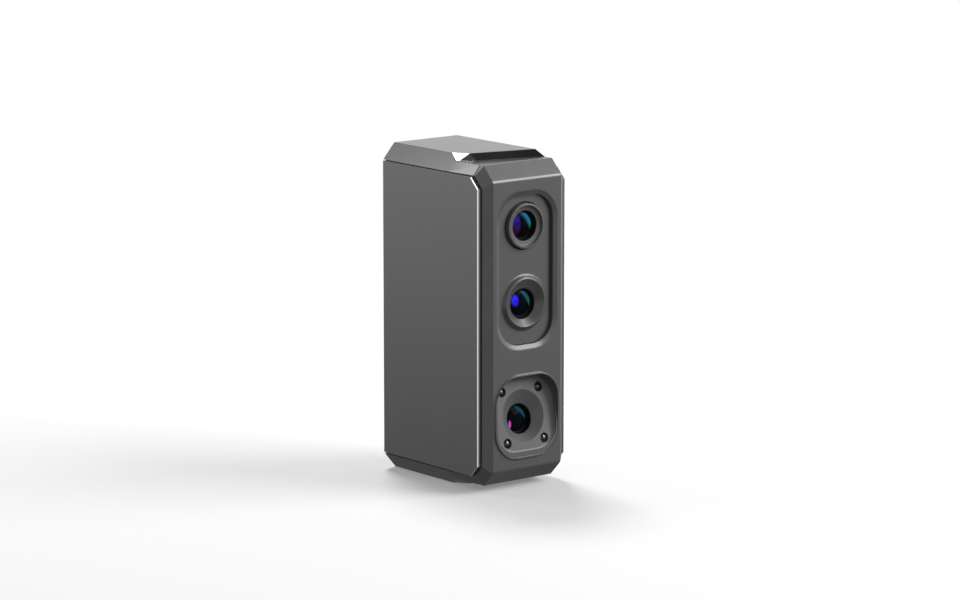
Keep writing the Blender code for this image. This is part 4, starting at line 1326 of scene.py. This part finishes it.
# ---------------------------------------------------------------- optics
@dataclass
class Projector:
    """The tilted panel at the foot of the well, the projector's cone and its four lamps."""

    tilt: float = 10.8
    panel: tuple[float, float, float] = (0.0, -23.65, 22.9)
    thick: float = 1.4
    cone_centre: float = 0.3
    tube_offset: float = -0.95
    cone_radius: float = 8.1
    cone_depth: float = 2.3
    hole_radius: float = 4.8
    lamp_x: float = 7.4
    lamp_reach: float = 8.1
    lamp_hole: float = 1.52
    lamp_radius: float = 1.38
    floor_half: tuple[float, float] = (11.7, 12.2)
    floor_radius: float = 7.4
    floor_round: float = 1.7

    @property
    def turn(self) -> Matrix:
        """The panel's turn: it faces forwards and a little upwards."""
        return Matrix.Rotation(math.radians(90 - self.tilt), 4, "X")

    def on_panel(self, x: float, y: float, z: float) -> Matrix:
        """A place on the panel: x across, y up along it, z out of it."""
        return at(self.panel, self.turn) @ Matrix.Translation(Vector((x, y, z)) * MM)

    def lamp_places(self) -> list[tuple[float, float]]:
        """The lamps' places on the panel, in millimetres."""
        return [(side * self.lamp_x, level * self.lamp_reach + 0.4) for level in (1, -1) for side in (-1, 1)]

    def build(self, bezel: FrontBezel) -> None:
        """Models and dresses the panel and its lamps.

        Args:
            bezel: the bezel whose well holds the panel.
        """
        form = Form.rounded((16.0, 16.0), 3.0, -self.thick, 4).follow([(0.0, self.thick + 1.6)])
        form.placed(self.on_panel(0.0, 0.0, 0.0))
        form.combine(Joining.KEEP_SHARED, bezel.well(0.04, rim=False))
        form.slice((0.0, bezel.front - bezel.pad_rise + bezel.well_rim + 0.02, 0.0), (0.0, -1.0, 0.0))
        inner = (self.floor_half[0] - self.floor_round, self.floor_half[1] - self.floor_round)
        dish = Form.rounded(inner, self.floor_radius - self.floor_round, 0.0, 14)
        dish.follow([(-inset, rise) for inset, rise in quarter(self.floor_round, 9, hollow=True)])
        dish.follow([(0.0, 4.0)])
        dish.placed(self.on_panel(0.0, 0.35, 0.0))
        form.combine(Joining.CUT, dish)
        boss = Form.turned([(0, -0.3), (6.6, -0.3), (6.6, -2.9), (0, -2.9)])
        boss.placed(self.on_panel(0.0, self.cone_centre + self.tube_offset, 0.0))
        form.combine(Joining.ADD, boss)
        cone = Form.turned(
            [
                (0, 1.0), (self.cone_radius + 0.2, 1.0), (self.cone_radius + 0.1, 0.02, 0.05),
                (self.cone_radius - 0.05, -0.1, 0.1), (self.hole_radius, -self.cone_depth, 0.12),
                (self.hole_radius, -6), (0, -6),
            ],
            128,
        )
        for vertex in cone.mesh.verts:
            share = max(0.0, min(1.0, -vertex.co.z / MM / self.cone_depth))
            vertex.co.y += self.tube_offset * share * MM
        form.combine(Joining.CUT, cone.placed(self.on_panel(0.0, self.cone_centre, 0.0)))
        for number, (x, y) in enumerate(self.lamp_places(), 1):
            rim = self.lamp_hole + 0.12
            hole = [
                (0, 2), (rim, 2), (rim, 0.02), (self.lamp_hole, -0.12, 0.06), (self.lamp_hole, -4), (0, -4),
            ]
            form.combine(Joining.CUT, Form.turned(hole, 48).placed(self.on_panel(x, y, 0.0)))
            dome = [
                (self.lamp_radius * math.sin(math.radians(9 * step)),
                 self.lamp_radius * 0.85 * math.cos(math.radians(9 * step)) - 1.15)
                for step in range(11)
            ]
            lamp = Form.turned([*dome, (self.lamp_radius, -1.5), (1.55, -1.5), (1.55, -2.4), (0, -2.4)], 48)
            lamp.placed(self.on_panel(x, y, 0.0))
            lamp.piece(f"lamp_{number}", LAMP_LENS, [f"fill_lamp_{number}"], smooth=50.0)
        # The panel's lighter moulding is painted light from its upward tilt.
        form.piece("projector_panel", PROJECTOR_MOULDING, ["projector_fascia"], smooth=38.0, flat_faces=True)


class LensKind(Enum):
    """Which of the three optics a lens barrel belongs to."""

    UPPER_CAMERA = "upper"
    LOWER_CAMERA = "lower"
    PROJECTOR = "projector"


@dataclass
class LensBarrel:
    """A blackened barrel with stepped baffles and a front element whose coloured glints are painted
    reflections.
    """

    kind: LensKind
    place: Matrix
    glass_front: float
    nose_front: float
    flange_front: float
    rear: float
    nose_radius: float = 4.72
    glass_radius: float = 3.9
    bore: float = 4.15
    bulge: float = 0.8

    def build(self) -> None:
        """Models and dresses the barrel and its glass."""
        name = self.kind.value
        tube = "projector_tube" if self.kind is LensKind.PROJECTOR else f"{name}_camera_tube"
        lip = self.glass_front - self.bulge
        profile = [
            (self.nose_radius, self.nose_front), (self.nose_radius, self.flange_front),
            (6.8, self.flange_front, 0.2), (6.8, self.rear), (self.bore, self.rear), (self.bore, lip - 3.4),
            (3.0, lip - 3.2), (3.0, lip - 2.6), (self.bore, lip - 2.4), (self.bore, lip - 0.9),
            (self.glass_radius + 0.06, lip - 0.8), (self.glass_radius + 0.06, lip + 0.02),
            (self.bore + 0.12, lip + 0.1), (self.nose_radius - 0.12, self.nose_front - 0.3),
            (self.nose_radius - 0.06, self.nose_front),
        ]
        Form.turned(profile, 96).placed(self.place).piece(f"{name}_lens_barrel", BAFFLE, [tube], smooth=30.0)
        front = self.element(self.glass_front, self.bulge, 0.7, 0.5)
        # The front element's coloured crescent and glow are painted reflections, given off as emission.
        front.piece(f"{name}_front_element", self.coatings()[self.kind], [f"{name}_front_lens"], smooth=40.0)

    @staticmethod
    def coatings() -> dict[LensKind, CoatedGlass]:
        """The finish with painted reflections on each front element."""
        return {
            LensKind.UPPER_CAMERA: UPPER_COATING, LensKind.LOWER_CAMERA: LOWER_COATING,
            LensKind.PROJECTOR: PROJECTOR_COATING,
        }

    def element(self, vertex: float, front_bulge: float, thick: float, rear_bulge: float) -> Form:
        """A biconvex element whose front is highest at vertex.

        Args:
            vertex: the height of its front's middle.
            front_bulge: how far the front bulges.
            thick: its thickness at the rim.
            rear_bulge: how far the rear bulges.

        Returns:
            The element in place.
        """
        rim = vertex - front_bulge
        steps = [step / 12 for step in range(13)]
        front = [(self.glass_radius * t, rim + front_bulge * (1 - t * t)) for t in steps]
        rear = [(self.glass_radius * t, rim - thick - rear_bulge * (1 - t * t)) for t in reversed(steps)]
        return Form.turned(front + rear, 96).placed(self.place)


# ---------------------------------------------------------------- rear
@dataclass
class RearPanel:
    """The lid, the glossy key panel let into it, the status ring, three keys, four screws and the port."""

    lid_cut: float = 3.4
    panel_half: tuple[float, float] = (9.0, 21.0)
    panel_radius: float = 4.0
    flange_drop: float = 1.5
    key_length: float = 5.2
    symbol_rise: float = 0.03

    def __post_init__(self) -> None:
        """Takes its places from the frame."""
        self.lid = Box.of("rear_lid")
        self.panel = Box.of("control_panel")
        self.ring = Box.of("status_light_ring")
        self.port = Box.of("usb_shell")
        self.keys = {name: Box.of(f"{name}_key") for name in ("scan", "plus", "minus")}
        self.face = self.panel.high.y

    def build(self) -> None:
        """Models and dresses every piece of the rear."""
        self.build_lid()
        self.build_panel()
        self.build_keys()
        self.build_screws()
        self.build_port()

    def build_lid(self) -> None:
        """Models and dresses the lid."""
        low, high = self.lid.low, self.lid.high
        rear = high.y + 0.1
        form = Form.box(low, high)
        form.round_edges(self.lid_cut, 1, lambda edge: abs(edge.verts[0].co.y - edge.verts[1].co.y) > 1e-6)
        form.round_edges(
            0.3, 3, lambda edge: all(abs(vertex.co.y / MM - high.y) < 1e-3 for vertex in edge.verts)
        )
        seat_level = -(self.face - 1.5)
        seat_place = at((0.0, 0.0, self.panel.centre.z), FACING_REAR)
        seat = Form.rounded((9.2, 21.2), 4.2, -seat_level, 10).follow([(0.0, rear + seat_level - 0.35)])
        seat.follow([(-inset, rise) for inset, rise in quarter(0.25, 4)]).follow([(0.0, 1.0)])
        through = Form.rounded((7.9, 19.8), 3.2, 10.0, 8).follow([(0.0, 20.0)]).placed(seat_place)
        port_place = at((0.0, 0.0, self.port.centre.z), FACING_REAR)
        port = Form.rounded((4.7, 1.85), 1.75, 10.0, 10).follow([(0.0, rear - 10.7)])
        port.follow([(-0.75, 0.25), (-0.5, 0.2), (-0.3, 0.12), (0.0, 1.0)])
        form.combine(Joining.CUT, seat.placed(seat_place), through, port.placed(port_place))
        for number in range(1, 5):
            screw = Box.of(f"lid_screw_{number}").centre
            hole = [
                (0, 1), (2.35, 1), (2.35, -0.12, 0.05), (2.15, -0.3, 0.1), (2.15, -0.75),
                (1.15, -1.75), (1.15, -5), (0, -5),
            ]
            form.combine(Joining.CUT, Form.turned(hole, 64).placed(at((screw.x, rear, screw.z), FACING_REAR)))
        form.piece("rear_cover", BEZEL, ["rear_lid"], smooth=32.0, flat_faces=True)

    def build_panel(self) -> None:
        """Models and dresses the key panel and the status ring."""
        low = self.panel.low.y
        form = Form.rounded(self.panel_half, self.panel_radius, low, 12)
        form.follow([(0.0, self.face - low - 0.3)]).follow(quarter(0.3, 5))
        form.placed(at((0.0, 0.0, self.panel.centre.z), FACING_REAR))
        for name, key in self.keys.items():
            radius = (self.ring.high.x - self.ring.low.x) / 2 + 0.2 if name == "scan" else 3.4 + 0.2
            hole = [
                (0, 3), (radius + 0.2, 3), (radius + 0.2, 0.02), (radius, -0.2, 0.1), (radius, -5), (0, -5),
            ]
            place = at((0.0, self.face, key.centre.z), FACING_REAR)
            form.combine(Joining.CUT, Form.turned(hole, 96).placed(place))
        form.piece("key_panel", BLACK_GLOSS, ["control_panel"], smooth=32.0, flat_faces=True)
        outer = (self.ring.high.x - self.ring.low.x) / 2
        inner = outer - 1.55
        profile = [(outer, 0.0, 0.15), (outer, -1.1), (inner, -1.1), (inner, 0.0, 0.15)]
        ring = Form.turned(profile, 128).placed(at((0.0, self.face, self.ring.centre.z), FACING_REAR))
        ring.piece("status_ring", LIGHT_PIPE, ["status_light_ring"], smooth=30.0)

    def build_keys(self) -> None:
        """Models and dresses the keys and their symbols, which travel with them."""
        for name, key in self.keys.items():
            radius = 5.0 if name == "scan" else 3.4
            profile = [
                (0, 0.16), (radius * 0.45, 0.22, 0.6), (radius * 0.8, 0.4, 0.3), (radius - 0.1, 0.4, 0.25),
                (radius, 0.05, 0.15), (radius, -self.flange_drop), (radius + 0.6, -self.flange_drop),
                (radius + 0.6, -self.flange_drop - 0.8), (1.4, -self.flange_drop - 0.8),
                (1.4, -self.key_length), (0, -self.key_length),
            ]
            place = at((0.0, self.face, key.centre.z), FACING_REAR)
            body = f"{name}_key"
            button = Form.turned(profile, 96).placed(place)
            button.piece(f"{name}_button", BLACK_MATT, [body], body, smooth=40.0)
            self.build_symbol(name, place, body)

    def build_symbol(self, name: str, place: Matrix, body: str) -> None:
        """Prints a key's symbol: a plus, a minus, or a ring with a dot.

        Args:
            name: the key's name.
            place: the key's place.
            body: the body that it rides on.
        """
        base, top = 0.12, 0.24 + self.symbol_rise
        if name == "scan":
            form = Form.turned([(1.9, base), (1.9, 0.3), (1.55, 0.3), (1.55, base)], 64)
            form.combine(Joining.ADD, Form.turned([(0, base), (0.55, base), (0.55, 0.24), (0, 0.24)], 32))
        else:
            form = Form.rounded((1.15, 0.2), 0.12, base, 4).follow([(0.0, top - base)])
            if name == "plus":
                upright = Form.rounded((0.2, 1.15), 0.12, base, 4).follow([(0.0, top - base)])
                form.combine(Joining.ADD, upright)
        form.placed(place).piece(f"{name}_symbol", PRINT, body=body, smooth=30.0)

    def build_screws(self) -> None:
        """Models and dresses the lid's countersunk screws with their hexagon sockets."""
        for number in range(1, 5):
            name = f"lid_screw_{number}"
            box = Box.of(name)
            place = at((box.centre.x, box.high.y, box.centre.z), FACING_REAR)
            profile = [(0, 0), (1.85, 0, 0.12), (1.85, -0.35), (0.85, -1.35), (0.85, -7.1), (0, -7.1)]
            form = Form.turned(profile, 48)
            socket = Form()
            bmesh.ops.create_cone(
                socket.mesh, cap_ends=True, segments=6, radius1=0.62 * MM, radius2=0.82 * MM, depth=1.5 * MM,
                matrix=Matrix.Translation((0.0, 0.0, -0.2 * MM)),
            )
            form.combine(Joining.CUT, socket)
            form.placed(place).piece(f"cover_{name}", STEEL, [name], smooth=30.0)

    def build_port(self) -> None:
        """Models and dresses the charging and data port."""
        low, high = self.port.low.y, self.port.high.y
        place = at((0.0, 0.0, self.port.centre.z), FACING_REAR)
        shell = Form.rounded((4.45, 1.6), 1.5, low, 10)
        shell.follow([(0.0, high - low - 0.1)]).follow(quarter(0.1, 3))
        mouth = Form.rounded((4.15, 1.3), 1.2, low + 1.0, 10)
        mouth.follow([(0.0, high - low - 1.15), (-0.12, 0.15), (0.0, 1.0)])
        shell.combine(Joining.CUT, mouth)
        shell.placed(place).piece("port_shell", STEEL, ["usb_shell"], smooth=30.0, flat_faces=True)
        tongue = Box.of("usb_tongue")
        form = Form.box(tongue.low, tongue.high).round_edges(0.14, 3)
        form.piece("port_tongue", BLACK_MATT, ["usb_tongue"], smooth=30.0)
        strip = Form()
        for number in range(12):
            left = -2.9 + 0.5 * number
            contact = Form.box(
                (left, tongue.high.y - 2.6, tongue.high.z - 0.02),
                (left + 0.25, tongue.high.y - 0.5, tongue.high.z + 0.015),
            )
            data = bpy.data.meshes.new("contact")
            contact.mesh.to_mesh(data)
            contact.mesh.free()
            strip.mesh.from_mesh(data)
            bpy.data.meshes.remove(data)
        strip.piece("port_contacts", GOLD, smooth=30.0)


@dataclass
class Underside:
    """The brass camera socket in the foot, with its thread."""

    bore: float = 3.2
    wall: float = 1.4
    pitch: float = 1.27

    def build(self) -> None:
        """Models and dresses the socket."""
        box = Box.of("tripod_insert")
        outer = self.bore + self.wall
        profile = [
            (outer + 1.6, 5.8), (outer + 1.6, 4.1), (outer, 4.1), (outer, 0.3, 0.12),
            (self.bore + 0.45, 0.3, 0.1), (self.bore + 0.05, 0.75),
        ]
        level = 0.75
        while level + self.pitch < 5.7:
            profile.append((self.bore - 0.3, level + self.pitch * 0.5))
            profile.append((self.bore + 0.05, level + self.pitch))
            level += self.pitch
        profile.append((self.bore, 5.8))
        form = Form.turned(profile, 64).placed(at((box.centre.x, box.centre.y, 0.0)))
        form.piece("foot_socket", BRASS, ["tripod_insert"], smooth=25.0)


@dataclass
class Internals:
    """The carried-over pieces inside, each with its own finish."""

    finishes: dict[str, Finish] = field(default_factory=lambda: {
        "lamp_board": BOARD, "upper_sensor_board": BOARD, "lower_sensor_board": BOARD, "main_board": BOARD,
        "key_board": BOARD, "usb_board": BOARD, "upper_sensor": PACKAGE, "lower_sensor": PACKAGE,
        "projector_lamp": PACKAGE, "processor_chip": PACKAGE, "upper_inner_lens": INNER_GLASS,
        "lower_inner_lens": INNER_GLASS, "projector_inner_lens": INNER_GLASS,
        "pattern_slide": INNER_GLASS, "projector_heat_sink": MACHINED, "heat_spreader": MACHINED,
        "optical_frame": MACHINED, "scan_switch": BLACK_MATT, "plus_switch": BLACK_MATT,
        "minus_switch": BLACK_MATT, "upper_camera_ribbon": FILM, "lower_camera_ribbon": FILM,
        "seam_gasket": RUBBER,
    })

    def dress(self) -> None:
        """Gives each carried-over node its finish."""
        for name, finish in self.finishes.items():
            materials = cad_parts[name].data.materials
            materials.clear()
            materials.append(finish.material())
            LOG.info("%s: carried over, %s", name, finish.name)


# ---------------------------------------------------------------- studio
@dataclass(frozen=True)
class Softbox:
    """A soft light panel.

    Attributes:
        name: its name.
        toward: the direction it stands in, seen from the scanner.
        away: its distance in metres.
        size: its width and height in metres.
        power: its power in watts.
        seen: whether polished surfaces mirror it.
    """

    name: str
    toward: tuple[float, float, float]
    away: float
    size: tuple[float, float]
    power: float
    seen: bool = True

    def light(self, target: Vector) -> bpy.types.Object:
        """Hangs the panel so that it faces a target.

        Args:
            target: the point it faces.

        Returns:
            The light.
        """
        data = bpy.data.lights.new(self.name, "AREA")
        data.shape = "RECTANGLE"
        data.size, data.size_y = self.size
        data.energy = self.power
        made = bpy.data.objects.new(self.name, data)
        bpy.context.scene.collection.objects.link(made)
        direction = Vector(self.toward).normalized()
        made.location = target + direction * self.away
        made.rotation_euler = direction.to_track_quat("Z", "Y").to_euler()
        made.visible_glossy = self.seen
        return made


@dataclass
class Studio:
    """A pale floor, a surround of graded light with two small gleams, panels, and the camera."""

    azimuth: float = -38.72
    elevation: float = 10.64
    distance: float = 1.2624
    focal_length: float = 150.0
    shift: tuple[float, float] = (0.00427, 0.0128)
    floor_colour: Colour = (0.56, 0.56, 0.56)
    floor_glow: float = 0.2
    floor_fade: tuple[float, float] = (0.22, 0.62)
    wall_levels: tuple[tuple[float, float], ...] = (
        (-1.0, 0.18), (-0.6, 0.22), (-0.3, 0.2), (-0.21, 0.34), (-0.12, 1.05), (0.0, 1.2),
        (0.15, 0.98), (0.3, 0.85), (0.5, 0.58), (0.72, 0.25), (0.84, 0.015), (1.0, 0.01),
    )
    dim_side: tuple[float, float, float] = (-0.75, -0.66, 0.0)
    dim_edge: tuple[float, float] = (0.2, 0.9)
    dim_level: float = 0.5
    gleams: tuple[tuple[tuple[float, float, float], float], ...] = (
        ((-0.767, -0.615, -0.185), 0.85), ((-0.673, -0.144, 0.726), 2.2),
    )
    gleam_edge: tuple[float, float] = (0.985, 0.997)
    panels: tuple[Softbox, ...] = (
        Softbox("gem_panel", (0.158, 0.443, 0.883), 1.2, (0.34, 0.34), 10.5),
        Softbox("rear_left_panel", (-0.37, 0.63, 0.68), 1.3, (0.4, 0.4), 2.0),
        Softbox("right_front_panel", (0.6, -0.56, 0.54), 1.2, (0.8, 0.76), 14.0),
    )

    def build(self) -> None:
        """Makes the floor, the surround, the panels and the camera."""
        middle = Vector(((CAD_BOX[0][0] + CAD_BOX[1][0]) / 2, (CAD_BOX[0][1] + CAD_BOX[1][1]) / 2, 0.0525))
        self.build_floor()
        self.build_surround()
        for panel in self.panels:
            panel.light(middle)
        self.place_camera(middle)
        bpy.context.scene.view_settings.view_transform = "Standard"

    def build_floor(self) -> None:
        """Lays the floor."""
        form = Form()
        bmesh.ops.create_grid(form.mesh, x_segments=2, y_segments=2, size=6.0)
        floor = form.as_object("studio_floor")
        material = bpy.data.materials.new("studio_floor_paper")
        material.use_nodes = True
        shader = material.node_tree.nodes["Principled BSDF"]
        shader.inputs["Base Color"].default_value = (*self.floor_colour, 1.0)
        shader.inputs["Roughness"].default_value = 0.9
        shader.inputs["Specular IOR Level"].default_value = 0.1
        shader.inputs["Emission Color"].default_value = (1.0, 1.0, 1.0, 1.0)
        shader.inputs["Emission Strength"].default_value = self.floor_glow
        tree = material.node_tree
        reach = tree.nodes.new("ShaderNodeVectorMath")
        reach.operation = "LENGTH"
        tree.links.new(tree.nodes.new("ShaderNodeTexCoord").outputs["Object"], reach.inputs[0])
        fade = tree.nodes.new("ShaderNodeMapRange")
        fade.interpolation_type = "SMOOTHSTEP"
        fade.inputs["From Min"].default_value, fade.inputs["From Max"].default_value = self.floor_fade
        fade.inputs["To Min"].default_value, fade.inputs["To Max"].default_value = 1.0, 0.0
        tree.links.new(reach.outputs["Value"], fade.inputs["Value"])
        tree.links.new(fade.outputs["Result"], shader.inputs["Alpha"])
        floor.data.materials.append(material)
        floor.visible_diffuse = False
        floor.visible_glossy = False

    def build_surround(self) -> None:
        """Makes the surround: to the camera a white backdrop, and to everything else bright walls, a dark
        ceiling and two small gleams that fall on the left plate's cut edges."""
        world = bpy.data.worlds.new("studio_surround")
        bpy.context.scene.world = world
        world.use_nodes = True
        tree = world.node_tree
        place = tree.nodes.new("ShaderNodeTexCoord").outputs["Generated"]
        split = tree.nodes.new("ShaderNodeSeparateXYZ")
        tree.links.new(place, split.inputs["Vector"])
        ramp = tree.nodes.new("ShaderNodeValToRGB")
        stops = ramp.color_ramp.elements
        first, last = self.wall_levels[0], self.wall_levels[-1]
        stops[0].position, stops[0].color = 0.0, (first[1],) * 3 + (1.0,)
        stops[1].position, stops[1].color = 1.0, (last[1],) * 3 + (1.0,)
        for rise, brightness in self.wall_levels[1:-1]:
            stops.new((rise + 1.0) / 2.0).color = (brightness,) * 3 + (1.0,)
        height = calculate(tree, "MULTIPLY", calculate(tree, "ADD", split.outputs["Z"], 1.0), 0.5)
        tree.links.new(height, ramp.inputs["Fac"])
        toward = tree.nodes.new("ShaderNodeVectorMath")
        toward.operation = "DOT_PRODUCT"
        toward.inputs[1].default_value = self.dim_side
        tree.links.new(place, toward.inputs[0])
        dimming = tree.nodes.new("ShaderNodeMapRange")
        dimming.inputs["From Min"].default_value, dimming.inputs["From Max"].default_value = self.dim_edge
        dimming.inputs["To Min"].default_value = 1.0
        dimming.inputs["To Max"].default_value = self.dim_level
        tree.links.new(toward.outputs["Value"], dimming.inputs["Value"])
        level = tree.nodes.new("ShaderNodeRGBToBW")
        tree.links.new(ramp.outputs["Color"], level.inputs["Color"])
        surround = calculate(tree, "MULTIPLY", level.outputs["Val"], dimming.outputs["Result"])
        for side, brightness in self.gleams:
            along = tree.nodes.new("ShaderNodeVectorMath")
            along.operation = "DOT_PRODUCT"
            along.inputs[1].default_value = side
            tree.links.new(place, along.inputs[0])
            gleam = tree.nodes.new("ShaderNodeMapRange")
            gleam.inputs["From Min"].default_value, gleam.inputs["From Max"].default_value = self.gleam_edge
            gleam.inputs["To Min"].default_value = 0.0
            gleam.inputs["To Max"].default_value = brightness
            tree.links.new(along.outputs["Value"], gleam.inputs["Value"])
            surround = calculate(tree, "ADD", surround, gleam.outputs["Result"])
        seen = tree.nodes.new("ShaderNodeLightPath").outputs["Is Camera Ray"]
        strength = mixer(tree, seen, surround, (1.0, 1.0, 1.0))
        tree.links.new(strength, tree.nodes["Background"].inputs["Color"])
        tree.nodes["Background"].inputs["Strength"].default_value = 1.0

    def place_camera(self, middle: Vector) -> None:
        """Sets the camera up.

        Args:
            middle: the point it looks at.
        """
        azimuth, elevation = math.radians(self.azimuth), math.radians(self.elevation)
        back = Vector((
            math.sin(azimuth) * math.cos(elevation),
            -math.cos(azimuth) * math.cos(elevation),
            math.sin(elevation),
        ))
        data = bpy.data.cameras.new("studio_camera")
        data.lens = self.focal_length
        data.sensor_width = 36.0
        data.shift_x, data.shift_y = self.shift
        camera = bpy.data.objects.new("studio_camera", data)
        bpy.context.scene.collection.objects.link(camera)
        camera.location = middle + back * self.distance
        camera.rotation_euler = (-back).to_track_quat("-Z", "Y").to_euler()
        bpy.context.scene.camera = camera


def main() -> None:
    """Builds the scanner piece by piece, then the studio."""
    logging.basicConfig(level=logging.INFO, format="%(message)s")
    Groups.build()
    BodyShell().build()
    for side in (-1, 1):
        SidePlate(side).build()
    bezel = FrontBezel()
    bezel.build()
    CameraFascia().build()
    projector = Projector()
    projector.build(bezel)
    fascia_front = Box.of("camera_fascia").high.y - 1.3
    for kind in LensKind:
        if kind is LensKind.PROJECTOR:
            place = projector.on_panel(0.0, projector.cone_centre + projector.tube_offset, 0.0)
            LensBarrel(
                kind, place, glass_front=-3.3, nose_front=-2.4, flange_front=-4.6, rear=-19.0
            ).build()
        else:
            height = Box.of(f"{kind.value}_front_lens").centre.z
            place = at((0.0, fascia_front, height), FACING_FRONT)
            glass_front = -0.75 if kind is LensKind.UPPER_CAMERA else -1.15
            nose_front = 0.1 if kind is LensKind.UPPER_CAMERA else -0.7
            LensBarrel(kind, place, glass_front, nose_front, flange_front=-2.1, rear=-11.0).build()
    RearPanel().build()
    Underside().build()
    Internals().dress()
    Studio().build()


if __name__ == "__main__":
    main()
